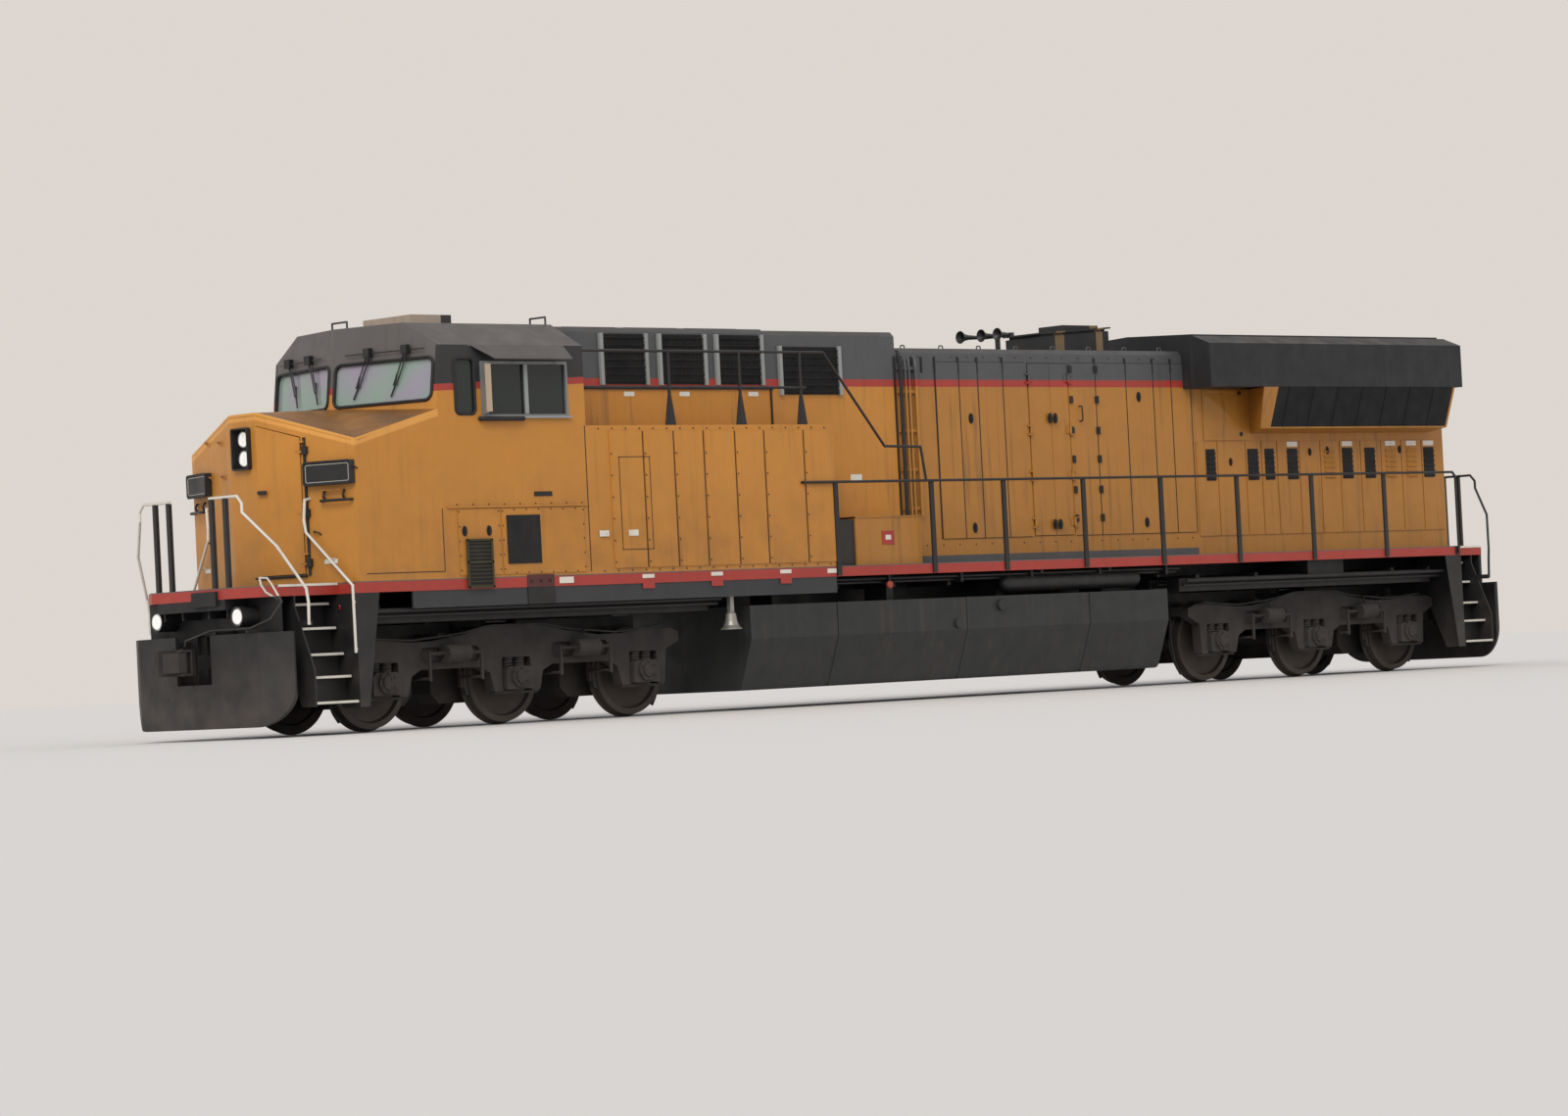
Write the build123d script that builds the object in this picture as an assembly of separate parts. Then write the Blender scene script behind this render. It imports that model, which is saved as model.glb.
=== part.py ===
from build123d import *
import math
import os

os.makedirs("parts", exist_ok=True)

# Sizes in millimetres. X runs forward, Y to the left, Z up from the wheels' lowest points.

# Running gear
flange_height = 28
wheel_radius = 533
wheel_width = 140
wheel_inner_gap = 1353
axle_radius = 100
journal_radius = 80
journal_reach = 1040
axle_z = wheel_radius + flange_height
axle_pitch = 2010
truck_centre_x = 7250
running_gap = 6
bearing_clearance = 0.1
centre_pin_radius = 120

# Platform
half_width = 1550
deck_top = 1730
deck_plate = 12
sill_depth = 130
sill_thick = 50
skirt_bottom = 1400
end_x = 10843
end_half_width = 1233
end_front_x = 11150
end_flat_half = 760
step_rear_x = 9980
step_front_x = 10620

# Cab and nose
wall = 50
nose_front_x = 10300
nose_flat_half = 250
nose_corner_x = 9890
nose_corner_z = 3370
nose_ridge_z = 3750
windshield_foot_x = 8640
windshield_foot_z = 3700
windshield_centre_x = 9000
windshield_centre_z = 3800
windshield_lean = 120
roof_z = 4750
eave_z = roof_z - 300
roof_half = 1000
cab_rear_x = 6380
floor_z = 2380

# Long hood
hood_half = 1020
hood_wall = 40
grid_top = 4730
hood_top = 4510
grid_rear_x = 620
radiator_front_x = -5020
radiator_rear_x = -10360
cabinet_rear_x = 2300
cabinet_top = 3500
wing_front_x = -4850
wing_rear_x = -10220
wing_foot_z = 3990
wing_crown_z = 4760
wing_top_z = wing_crown_z - 60
wing_edge_z = wing_crown_z - 180

# Door leaves
door_gap = 8
hinge_radius = 16
hinge_pin_radius = 7
hinge_offset = 20
hinge_length = 90
door_low = 2050
door_high = 4330

# Drawgear
coupler_z = 904
coupler_face_x = 11580
coupler_pivot_x = 10450
coupler_pin_radius = 45
knuckle_x = 11395
knuckle_y = 120
knuckle_pin_radius = 22

deck_foot = deck_top - deck_plate
sill_foot = deck_top - sill_depth


def block(x0, x1, y0, y1, z0, z1):
    """Box between two corners."""
    return Pos((x0 + x1) / 2, (y0 + y1) / 2, (z0 + z1) / 2) * Box(abs(x1 - x0), abs(y1 - y0), abs(z1 - z0))


def side_prism(points, y0, y1):
    """Outline of (x, z) points drawn on the side, as thick as y0 to y1."""
    face = Face(Wire.make_polygon([(x, y0, z) for x, z in points]))
    return extrude(face, amount=y1 - y0, dir=(0, 1, 0))


def end_prism(points, x0, x1):
    """Outline of (y, z) points drawn on the end, as long as x0 to x1."""
    face = Face(Wire.make_polygon([(x0, y, z) for y, z in points]))
    return extrude(face, amount=x1 - x0, dir=(1, 0, 0))


def plan_prism(points, z0, z1):
    """Outline of (x, y) points drawn on the plan, as high as z0 to z1."""
    face = Face(Wire.make_polygon([(x, y, z0) for x, y in points]))
    return extrude(face, amount=z1 - z0, dir=(0, 0, 1))


def rod(start, end, radius):
    """Round bar between two points."""
    way = Vector(*end) - Vector(*start)
    return Solid.make_cylinder(radius, way.length, Plane(origin=start, z_dir=way))


def pipe(points, radius):
    """Round bar bent through the points, with a ball at each bend."""
    pieces = [rod(a, b, radius) for a, b in zip(points, points[1:])]
    pieces += [Pos(*p) * Sphere(radius) for p in points[1:-1]]
    return pieces


def across(shape):
    """The shape turned over to the other side of the vehicle."""
    return mirror(shape, about=Plane.XZ)


def both(shapes):
    """The shapes and their mirror images on the other side."""
    shapes = list(shapes)
    return shapes + [across(s) for s in shapes]


def endways(shape):
    """The shape turned end for end about the vehicle's middle."""
    return Rot(0, 0, 180) * shape


def joined(shapes):
    """All the shapes melted into one body."""
    shapes = list(shapes)
    return Part() + shapes


def save(name, shape):
    """Write one named piece."""
    solids = shape.solids()
    out = solids[0] if len(solids) == 1 else Compound(children=list(solids))
    out.label = name
    export_step(out, f"parts/{name}.step")
    print(name, len(solids), "solids", round(sum(s.volume for s in solids) / 1e9, 3), "m3")


def hinge(x, y, z, away, out):
    """Butt hinge on an upright pin: the carrying half and the leaf's half.

    away points along the wall from the leaf, out points out of it; both are plan directions.
    """
    def plate(a0, a1, b0, b1, z0, z1):
        corners = [(a0, b0), (a1, b0), (a1, b1), (a0, b1)]
        return plan_prism([(x + a * away[0] + b * out[0], y + a * away[1] + b * out[1]) for a, b in corners],
                          z0, z1)

    top = z + hinge_length
    deep = hinge_offset
    fixed = [rod((x, y, z - 18), (x, y, top + 18), hinge_pin_radius)]
    for z0, z1 in ((z - 22, z - 3), (top + 3, top + 22)):
        fixed.append(plate(-9, 60, -9, 9, z0, z1))
        fixed.append(plate(8, 60, -deep - 14, -9, z0, z1))
    strap = plate(-70, 0, -deep, -deep + 9, z, top)
    barrel = rod((x, y, z), (x, y, top), hinge_radius)
    hole = rod((x, y, z - 50), (x, y, top + 50), hinge_pin_radius + bearing_clearance)
    return joined(fixed), joined([strap, barrel]) - hole


def outline(inset):
    """Plan of the platform: full width, narrower over the steps, its end corners cut off."""
    quarter = [(end_front_x - inset, end_flat_half - 0.3 * inset),
               (end_x - 0.54 * inset, end_half_width - inset),
               (step_rear_x - inset, end_half_width - inset), (step_rear_x - inset, half_width - inset)]
    left = quarter + [(-x, y) for x, y in reversed(quarter)]
    return left + [(x, -y) for x, y in reversed(left)]


# Platform and underframe

deck = plan_prism(outline(0), deck_foot, deck_top)
save("walkway_deck", deck)

sill_ring = plan_prism(outline(0), sill_foot, deck_foot) - plan_prism(outline(sill_thick), sill_foot,
                                                                      deck_foot)
skirts = [block(cabinet_rear_x + 50, 9130, half_width - 40, half_width - 10, skirt_bottom, sill_foot),
          across(block(cab_rear_x, 9130, half_width - 40, half_width - 10, skirt_bottom, sill_foot))]
skirts += both([block(x - 20, x + 20, half_width - 160, half_width - 40, skirt_bottom + 40, sill_foot)
                for x in (8900, 6700)])
save("side_sills", joined([sill_ring] + skirts))

beam_low = 1280
beams = both([block(-10700, 10700, 250, 480, beam_low, deck_foot)])
bearers = [block(x - 30, x + 30, -1180, 1180, 1450, deck_foot) for x in range(-4000, 4001, 1000)]
bolsters = [block(s * truck_centre_x - 380, s * truck_centre_x + 380, -1350, 1350, 1360,
                  deck_foot) for s in (1, -1)]
plate_foot = 1176
plates = [Pos(s * truck_centre_x, 0, (plate_foot + 1400) / 2) * Cylinder(360, 1400 - plate_foot) for s in (1,
                                                                                                           -1)]
frame_ends = [block(s * 10450, s * 10790, -740, 740, beam_low, deck_foot) for s in (1, -1)]
pin_foot = 1135
centre_pins = [rod((s * truck_centre_x, 0, pin_foot), (s * truck_centre_x, 0, plate_foot), centre_pin_radius)
               for s in (1, -1)]
save("underframe", joined(beams + bearers + bolsters + plates + frame_ends + centre_pins))

# Fuel tank

tank_front = 3810
tank_rear = -3800
tank_top = 1280
tank_half = half_width - 50
tank_side = [(tank_half, tank_top), (tank_half, 870), (1260, 240), (-1260, 240), (-tank_half, 870),
             (-tank_half, tank_top)]
tank = end_prism(tank_side, tank_rear, tank_front)
tank = fillet(tank.edges().filter_by(Axis.X).group_by(Axis.Z)[0], 90)
seam_bands = [end_prism([(y * 1.006, z + 2) for y, z in tank_side[:3]] + [(y * 0.96, z) for y,
                                                                          z in tank_side[2::-1]],
                        x - 25, x + 25) for x in (-2300, 0, 2300)]
hangers = both([block(x - 60, x + 60, 700, 1100, tank_top, 1450) for x in (-3000, -1000, 1000, 3000)])
fillers = both([rod((-600, 1440, 1160), (-600, 1540, 1160), 70)])
gauges = both([rod((200, 1480, 950), (200, 1530, 950), 60)])
save("fuel_tank", joined([tank] + both(seam_bands) + hangers + fillers + gauges))

reservoir_z = 1445
reservoirs = both([rod((-3300, 1320, reservoir_z), (-900, 1320, reservoir_z), 120)])
ends = both([Pos(x, 1320, reservoir_z) * Sphere(120) for x in (-3300, -900)])
straps = both([block(x - 25, x + 25, 1180, 1460, 1560, deck_foot) for x in (-2750, -1450)])
save("air_reservoirs", joined(reservoirs + ends + straps))

bell_x = 4080
bell_y = 1440
bell_outline = [(0, 1215), (40, 1215), (60, 1190), (75, 1100), (95, 1050), (130, 1010), (130, 1000),
                (0, 1000)]
bell_face = Face(Wire.make_polygon([(r, 0, z) for r, z in bell_outline]))
bell = Pos(bell_x, bell_y, 0) * revolve(bell_face, Axis.Z)
bell_arm = block(bell_x - 30, bell_x + 30, bell_y - 30, bell_y + 30, 1210, 1420)
bell_plate = block(bell_x - 70, bell_x + 70, 1300, 1480, 1400, 1420)
bell_post = block(bell_x - 40, bell_x + 40, 1300, 1340, 1420, deck_foot)
save("bell", joined([bell, bell_arm, bell_plate, bell_post]))

# Ends: pilots, plow and steps

pilot_half = 1230
plate_x = end_x - 5
plate_back = plate_x - 48
mouth_half = 330
end_plate = block(plate_back, plate_x, -pilot_half, pilot_half, 620, sill_foot)
nosing = [block(plate_x, end_front_x, -640, 640, 1480, sill_foot)]
nosing += both([block(plate_x, end_front_x - 60, y - 12, y + 12, 1390, 1480) for y in (250, 600)])
nosing.append(block(end_front_x, end_front_x + 40, 60, 520, 1530, 1695))
plow_low = 130
plow_high = 1200
plow_corner = 450
plow_edge = [(11180, 0), (11080, 1150), (10860, 1500)]
plow_back = [(10820, 1480), (11035, 1125), (11135, 0)]
plow_mouth = block(10700, 11400, -mouth_half, mouth_half, 640, plow_high + 10)
pocket = [block(10000, plate_back, -260, 260, 1190, beam_low)]
pocket += both([block(10000, plate_back, 215, 260, 700, 1190)])
pocket.append(rod((coupler_pivot_x, 0, coupler_z - 100), (coupler_pivot_x, 0, 1190), coupler_pin_radius))
lever_z = 1252
lever_r = 12
front_brackets = [block(plate_x, 11150, y - 12, y + 12, lever_z - 47, lever_z - lever_r) for y in (420, 1020)]
rear_brackets = [block(plate_x, 11030, y - 12, y + 12, lever_z - 47, lever_z - lever_r) for y in (420, 1020)]


def plow(edge, back):
    """Plow blade with its lower outer corner cut round, and the braces that hold it to the end plate."""
    blade = plan_prism(edge + back, plow_low, plow_high)
    outer = max(y for x, y in edge)
    centre_y = outer - plow_corner
    centre_z = plow_low + plow_corner
    corner = block(10600, 11400, centre_y, outer + 50, plow_low - 50, centre_z)
    round_bar = rod((10500, centre_y, centre_z), (11500, centre_y, centre_z), plow_corner)
    blade = blade - (corner - round_bar)
    taper = (back[2][0] - back[1][0]) / back[1][1]
    braces = [block(plate_x, back[2][0] - taper * y + 12, y - 15, y + 15, 300, plow_high - 60) for y in (480,
                                                                                                         1100)]
    return both([blade] + braces)


front_end = joined([end_plate] + nosing + plow(plow_edge, plow_back) + front_brackets)
save("front_pilot", joined([front_end - plow_mouth] + pocket))
rear_edge = [(11000, 0), (10960, 1100), (10860, 1480)]
rear_back = [(10820, 1460), (10915, 1085), (10955, 0)]
rear_end = joined([end_plate] + nosing + plow(rear_edge, rear_back) + rear_brackets)
save("rear_pilot", endways(joined([rear_end - plow_mouth] + pocket)))

tread_depth = 250
step_rows = [(1545, 370), (1430, 660), (1310, 920), (1190, 1220), (1080, 1500)]
step_parts = []
riser_tops = [z for y, z in step_rows[1:]] + [sill_foot + 20]
for (y, z), top in zip(step_rows, riser_tops):
    step_parts.append(block(step_rear_x, step_front_x, y - tread_depth, y, z - 20, z + 10))
    step_parts.append(block(step_rear_x, step_front_x, y - tread_depth - 12, y - tread_depth, z - 20,
                            top - 20))
rear_cheek = [(half_width, 300), (half_width, sill_foot), (760, sill_foot), (760, 1300), (1230, 300)]
front_cheek = [(half_width, 330), (half_width, 740), (1478, 920), (1345, 1220), (end_half_width, 1480),
               (end_half_width, sill_foot), (820, sill_foot), (820, 1480), (1290, 330)]
step_parts.append(end_prism(rear_cheek, step_rear_x - 20, step_rear_x))
step_parts.append(end_prism(front_cheek, step_front_x - 20, step_front_x))
step_parts.append(side_prism([(step_rear_x, 300), (step_rear_x - 140, 300), (step_rear_x - 350, sill_foot),
                              (step_rear_x, sill_foot)], half_width - 10, half_width))
step_parts.append(block(step_front_x - 20, step_front_x, 1300, 1532, 1250, 1310))
step_parts.append(block(step_front_x, plate_back, 840, 860, 1300, sill_foot))
steps = joined(step_parts)
save("end_steps", joined([steps, across(steps), endways(steps), endways(across(steps))]))


# Cab: one faceted volume, hollowed, then parted where its panels meet

def pane_x(y, z, inset=0):
    """X of the windshield's leaning face, drawn in by the inset."""
    centre_x = windshield_centre_x - 1.1 * inset
    centre_z = windshield_centre_z - inset
    foot_x = windshield_foot_x - 1.1 * inset
    w = half_width - inset
    run = (centre_x - foot_x) / w
    drop = (windshield_centre_z - windshield_foot_z) / w
    rake = windshield_lean / (roof_z - windshield_centre_z)
    return centre_x - (run - rake * drop) * abs(y) - rake * (z - centre_z)


def cab_volume(inset):
    """Closed faceted body of nose and cab, drawn in by the inset."""
    w = half_width - inset
    floor = deck_top - (200 if inset else 0)
    rear = cab_rear_x + inset
    eave = eave_z - 0.55 * inset
    top = roof_z - inset
    shoulder = roof_half - 0.25 * inset
    flat = nose_flat_half - 0.1 * inset
    front = nose_front_x - inset
    corner = nose_corner_x - 0.85 * inset
    foot_z = windshield_foot_z - inset
    centre_z = windshield_centre_z - inset
    ridge = nose_ridge_z - inset
    cheek_z = nose_corner_z - inset
    points = {
        "rear_low": (rear, w, floor), "corner_low": (corner, w, floor), "front_low": (front, flat, floor),
        "corner": (corner, w, cheek_z), "ridge": (front, flat, ridge),
        "foot": (pane_x(w, foot_z, inset), w, foot_z),
        "eave": (pane_x(w, eave, inset), w, eave), "eave_rear": (rear, w, eave),
        "shoulder": (pane_x(shoulder, top, inset), shoulder, top), "shoulder_rear": (rear, shoulder, top),
        "centre": (pane_x(0, centre_z, inset), 0, centre_z), "brow": (pane_x(0, top, inset), 0, top),
    }

    def p(name, side):
        x, y, z = points[name]
        return (x, side * y, z)

    rings = []
    for s in (1, -1):
        rings.append([p(n, s) for n in ("rear_low", "corner_low", "corner", "foot", "eave", "eave_rear")])
        rings.append([p(n, s) for n in ("corner_low", "front_low", "ridge", "corner")])
        rings.append([p(n, s) for n in ("corner", "ridge", "centre")])
        rings.append([p(n, s) for n in ("corner", "centre", "foot")])
        rings.append([p(n, s) for n in ("foot", "centre", "brow", "shoulder", "eave")])
        rings.append([p(n, s) for n in ("eave", "shoulder", "shoulder_rear", "eave_rear")])
    rings.append([p("front_low", 1), p("ridge", 1), p("ridge", -1), p("front_low", -1)])
    rings.append([p("ridge", 1), p("ridge", -1), p("centre", 1)])
    rings.append([p("shoulder", 1), p("brow", 1), p("shoulder", -1), p("shoulder_rear", -1),
                  p("shoulder_rear", 1)])
    rings.append([p("rear_low", 1), p("eave_rear", 1), p("shoulder_rear", 1),
                  p("shoulder_rear", -1), p("eave_rear", -1), p("rear_low", -1)])
    rings.append([p("rear_low", 1), p("corner_low", 1), p("front_low", 1),
                  p("front_low", -1), p("corner_low", -1), p("rear_low", -1)])
    faces = [Face(Wire.make_polygon(ring)) for ring in rings]
    return Solid(Shell(faces))


cab_skin = cab_volume(0) - cab_volume(wall)


def nose_panel(edge, near, far):
    """Outline of (run, z) points on the nose's left slanted face, between two depths outward from it."""
    ux = (nose_corner_x - nose_front_x) / nose_slant
    uy = (half_width - nose_flat_half) / nose_slant
    start = [(nose_front_x + ux * s + uy * near, nose_flat_half + uy * s - ux * near, z) for s, z in edge]
    face = Face(Wire.make_polygon(start))
    return extrude(face, amount=far - near, dir=(uy, -ux, 0))


nose_slant = math.hypot(nose_front_x - nose_corner_x, half_width - nose_flat_half)


def face_hole(y, z, width, height, radius, x0, x1):
    """Rounded oblong facing forward."""
    sketch = Plane.YZ.offset(x0) * Pos(y, z) * RectangleRounded(width, height, radius)
    return extrude(sketch, x1 - x0)


def side_hole(x0, x1, z0, z1, radius, y0, y1):
    """Rounded oblong facing sideways."""
    plane = Plane(origin=(0, y1, 0), x_dir=(1, 0, 0), z_dir=(0, -1, 0))
    sketch = plane * Pos((x0 + x1) / 2, (z0 + z1) / 2) * RectangleRounded(x1 - x0, z1 - z0, radius)
    return extrude(sketch, y1 - y0)


pane_y = 768
pane_width = 1424
pane_z = (windshield_foot_z + eave_z) / 2 - 10
pane_height = eave_z - windshield_foot_z - 250
pane_radius = min(90, 0.3 * pane_height)
windshields = both([face_hole(pane_y, pane_z, pane_width, pane_height, pane_radius, 8300, 9300)])
quarter_light = [windshield_foot_x - 570, windshield_foot_x - 270, eave_z - 810, eave_z - 160]
side_light = [cab_rear_x + 260, cab_rear_x + 1600, eave_z - 850, eave_z - 190]
quarter_hole = side_hole(*quarter_light, 60, -1700, 1700)
side_window_hole = side_hole(*side_light, 20, -1700, 1700)

nose_door_width = 620
nose_door_edge = [(0, 1850), (nose_door_width, 1850), (nose_door_width, 3430), (0, 3600)]
nose_leaf_edge = [(door_gap, 1850 + door_gap), (nose_door_width - door_gap, 1850 + door_gap),
                  (nose_door_width - door_gap, 3430 - door_gap), (door_gap, 3600 - door_gap)]
rear_door = [-half_width + 80, -half_width + 505, 1770, 3700]
headlight_z = 3345
headlight_width = 315
headlight_height = 490
headlight_hole = face_hole(0, headlight_z, headlight_width, headlight_height, 30, 10100, 10400)

roof_region = block(5000, 11000, -2000, 2000, eave_z, roof_z + 400)
rear_region = block(cab_rear_x - 10, cab_rear_x + wall, -2000, 2000, 1000, eave_z)
chevron = end_prism([(-1700, 1000), (1700, 1000), (1700, windshield_foot_z), (half_width, windshield_foot_z),
                     (0, windshield_centre_z), (-half_width, windshield_foot_z), (-1700, windshield_foot_z)],
                    windshield_foot_x, 11000)
side_regions = [block(cab_rear_x + wall, windshield_foot_x, s * (half_width - wall), s * 1700, 1000, eave_z)
                for s in (1, -1)]

nose_along = ((nose_corner_x - nose_front_x) / nose_slant, (half_width - nose_flat_half) / nose_slant)
nose_out = (nose_along[1], -nose_along[0])
nose_hinge_run = nose_door_width - door_gap / 2
nose_hinge_out = 12 + hinge_offset
nose_hinge_x = nose_front_x + nose_along[0] * nose_hinge_run + nose_out[0] * nose_hinge_out
nose_hinge_y = nose_flat_half + nose_along[1] * nose_hinge_run + nose_out[1] * nose_hinge_out
nose_hinges = [hinge(nose_hinge_x, nose_hinge_y, z, nose_along, nose_out) for z in (1980, 2550, 3270)]
nose = (cab_skin & chevron) - nose_panel(nose_door_edge, -200, 200) - headlight_hole
nose = joined([nose] + [carrier for carrier, strap in nose_hinges])
sides = Part() + [s for region in side_regions for s in (cab_skin & region).solids()]
sides = sides - quarter_hole - side_window_hole
rear_wall = (cab_skin & rear_region) - block(6000, 6600, rear_door[0], rear_door[1], rear_door[2],
                                             rear_door[3])
roof = cab_skin & roof_region
front = cab_skin - roof_region - rear_region - chevron - side_regions[0] - side_regions[1]
for hole in windshields:
    front = front - hole

drip = both([block(6430, 8570, half_width, half_width + 22, 2545, 2565)])
panels = both([block(x0, x1, half_width, half_width + 10, z0, z1) for x0, x1, z0, z1 in
               [(7790, 8420, 1760, 2530), (6480, 7760, 1760, 2530)]])
vents = both([block(x0, x1, half_width + 10, half_width + 22, z0, z1) for x0, x1, z0, z1 in
              [(7940, 8320, 1610, 2180), (7180, 7690, 1880, 2450)]])
save("nose_shell", nose)
save("cab_sides", joined(list(sides.solids()) + drip + panels))
rear_hinges = [hinge(cab_rear_x - 12 - hinge_offset, rear_door[0] + door_gap / 2, z, (0, -1), (-1, 0))
               for z in (1950, 2700, 3450)]
save("cab_rear_wall", joined([rear_wall] + [carrier for carrier, strap in rear_hinges]))
save("cab_front", front)
visor_edge = half_width + 165
visor = end_prism([(half_width, eave_z + 2), (half_width, eave_z - 10), (visor_edge, eave_z - 180),
                   (visor_edge + 10, eave_z - 168)], cab_rear_x + 300, cab_rear_x + 1770)
visor = visor - side_prism([(cab_rear_x + 1770, eave_z + 20), (cab_rear_x + 1480, eave_z - 190),
                            (cab_rear_x + 1800, eave_z - 190)], half_width + 5, visor_edge + 50)
save("cab_roof", joined([roof] + both([visor])))

nose_leaf = nose_panel(nose_leaf_edge, -35, 12)
nose_handle = nose_panel([(40, 2800), (130, 2800), (130, 2835), (40, 2835)], 12, 50)
save("nose_door", joined([nose_leaf, nose_handle] + [strap for carrier, strap in nose_hinges]))
rear_leaf = block(cab_rear_x - 12, cab_rear_x + 35, rear_door[0] + door_gap, rear_door[1] - door_gap,
                  rear_door[2] + door_gap, rear_door[3] - door_gap)
save("cab_rear_door", joined([rear_leaf] + [strap for carrier, strap in rear_hinges]))

glass_skin = cab_volume(18) - cab_volume(30)
front_glass = [(glass_skin & hole) for hole in windshields]
side_glass = both([side_hole(*quarter_light, 60, half_width - 30, half_width - 20),
                   side_hole(side_light[0] + 35, side_light[1] - 35, side_light[2] + 35, side_light[3] - 35,
                             15,
                             half_width - 30, half_width - 20)])
save("cab_glass", joined(front_glass + side_glass))

frame_outer = side_hole(*side_light, 20, half_width - 45, half_width + 12)
frame_inner = side_hole(side_light[0] + 35, side_light[1] - 35, side_light[2] + 35, side_light[3] - 35, 15,
                        half_width - 60, half_width + 60)
mullion_x = cab_rear_x + 910
mullion = block(mullion_x - 18, mullion_x + 18, half_width - 20, half_width + 8, side_light[2] + 20,
                side_light[3] - 20)
deflector = block(side_light[1] - 20, side_light[1] - 8, half_width + 12, half_width + 110,
                  side_light[2] + 40,
                  side_light[3] - 20)
save("window_frames", joined(both([(frame_outer - frame_inner) + mullion + deflector])))

cab_floor = block(cab_rear_x + wall, 8700, -1000, half_width - wall, floor_z - 30, floor_z)
floor_legs = [block(cab_rear_x + 220, 8500, s - 20, s + 20, deck_top, floor_z - 30) for s in (-900,
                                                                                              half_width - 150)]
desk_x = windshield_foot_x - 120
desk_z = floor_z + 1140
desk = side_prism([(desk_x - 440, floor_z), (desk_x - 440, desk_z - 170), (desk_x - 120, desk_z),
                   (desk_x, desk_z),
                   (desk_x, floor_z)], -1000, -100)
left_desk = side_prism([(desk_x - 320, floor_z), (desk_x - 320, desk_z - 220), (desk_x, desk_z - 70),
                        (desk_x, floor_z)],
                       300, half_width - 350)
save("cab_interior", joined([cab_floor, desk, left_desk] + floor_legs))
seats = []
for y in (-550, 750):
    seats.append(block(7250, 7750, y - 240, y + 240, 2880, 2980))
    seats.append(side_prism([(7180, 2980), (7260, 2980), (7180, 3650), (7110, 3650)], y - 230, y + 230))
    seats.append(block(7110, 7300, y - 230, y + 230, 2900, 2990))
    seats.append(Pos(7480, y, (floor_z + 2880) / 2) * Cylinder(70, 2880 - floor_z))
save("cab_seats", joined(seats))

wiper_parts = []
wiper_z = eave_z - 30
for y in (540, 1085):
    for dy in (0, 45):
        arm = [(y + dy, wiper_z, 40), (y + dy - 50, wiper_z - 130, 22), (y + dy - 165, wiper_z - 400, 4)]
        wiper_parts += pipe([(pane_x(p, z) + off, p, z) for p, z, off in arm], 8)
    blade = [(y - 130, wiper_z - 270), (y - 145, wiper_z - 410), (y - 195, wiper_z - 530)]
    wiper_parts += pipe([(pane_x(p, z), p, z) for p, z in blade], 10)
    x = pane_x(y, wiper_z)
    wiper_parts.append(block(x + 12, x + 75, y - 30, y + 75, wiper_z - 45, wiper_z + 60))
    wiper_parts += [rod((pane_x(y + 20, z) + 2.3, y + 20, z), (x + 30, y + 20, z), 8) for z in (wiper_z - 25,
                                                                                                wiper_z + 8)]
wiper_parts.append(rod((pane_x(230, wiper_z) + 45, 230, wiper_z),
                       (pane_x(1370, wiper_z) + 45, 1370, wiper_z), 7))
save("wipers", joined(both(wiper_parts)))

head_pan = face_hole(0, headlight_z, headlight_width, headlight_height, 30, 10180, 10360)
head_pan = head_pan - face_hole(0, headlight_z, headlight_width - 36, headlight_height - 36, 20, 10235, 10400)
ditch_y = 770
ditch_z = 1395
ditch = both([rod((end_x - 5, ditch_y, ditch_z), (11090, ditch_y, ditch_z), 118)])
ditch = [d - rod((11060, s * ditch_y, ditch_z), (11200, s * ditch_y, ditch_z), 106) for d,
         s in zip(ditch, (1, -1))]
rear_lamp_pan = block(radiator_rear_x - 70, radiator_rear_x, -300, 300, 3800, 4060)
save("lamp_housings", joined([head_pan] + ditch + [rear_lamp_pan] + [endways(d) for d in ditch]))
lenses = [rod((10235, 0, headlight_z + s * 112), (10290, 0, headlight_z + s * 112), 86) for s in (1, -1)]
ditch_lenses = both([rod((11060, ditch_y, ditch_z), (11082, ditch_y, ditch_z), 98)])
lenses += ditch_lenses + [endways(s) for s in ditch_lenses]
lenses += both([rod((radiator_rear_x - 90, 130, 3930), (radiator_rear_x - 70, 130, 3930), 95)])
save("lamp_lenses", joined(lenses))
board = nose_panel([(690, 2855), (1350, 2855), (1350, 3125), (690, 3125)], 0, 80)
save("number_boards", joined(both([board])))

cooler = block(7460, 8080, -450, 450, roof_z, roof_z + 150)
aerial = Pos(6800, 0, roof_z + 40) * Cylinder(60, 80)
roof_grabs = []
for x, y in ((8700, -120), (6450, 850)):
    roof_grabs += pipe([(x, y - 140, roof_z), (x, y - 140, roof_z + 90), (x, y + 140, roof_z + 90),
                        (x, y + 140, roof_z)], 12)
save("roof_fittings", joined([cooler, aerial] + roof_grabs))

# Cabinets and hoods behind the cab


def hood_box(x0, x1, y0, y1, top, bevel):
    """Sheet housing open at the bottom, its long top edges bevelled."""
    def section(inset):
        a, b, t = y0 + inset, y1 - inset, top - inset
        foot = deck_top - (50 if inset else 0)
        return [(a, foot), (b, foot), (b, t - bevel), (b - bevel, t), (a + bevel, t), (a, t - bevel)]
    return end_prism(section(0), x0, x1) - end_prism(section(hood_wall), x0 + hood_wall, x1 - hood_wall)


grid_front = hood_box(2900, cab_rear_x, -hood_half, hood_half, grid_top, 60)
blower = hood_box(grid_rear_x, 2900, -hood_half, hood_half, grid_top - 15, 60)
roof_gratings = []
for x0 in (3050, 4050, 5050):
    roof_gratings += [block(x0, x0 + 860, y - 25, y + 25, grid_top, grid_top + 30) for y in (-650, 650)]
    roof_gratings += [block(x, x + 30, -650, 650, grid_top, grid_top + 24) for x in range(x0, x0 + 840, 138)]
save("grid_cab", joined([grid_front, blower] + roof_gratings))

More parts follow.
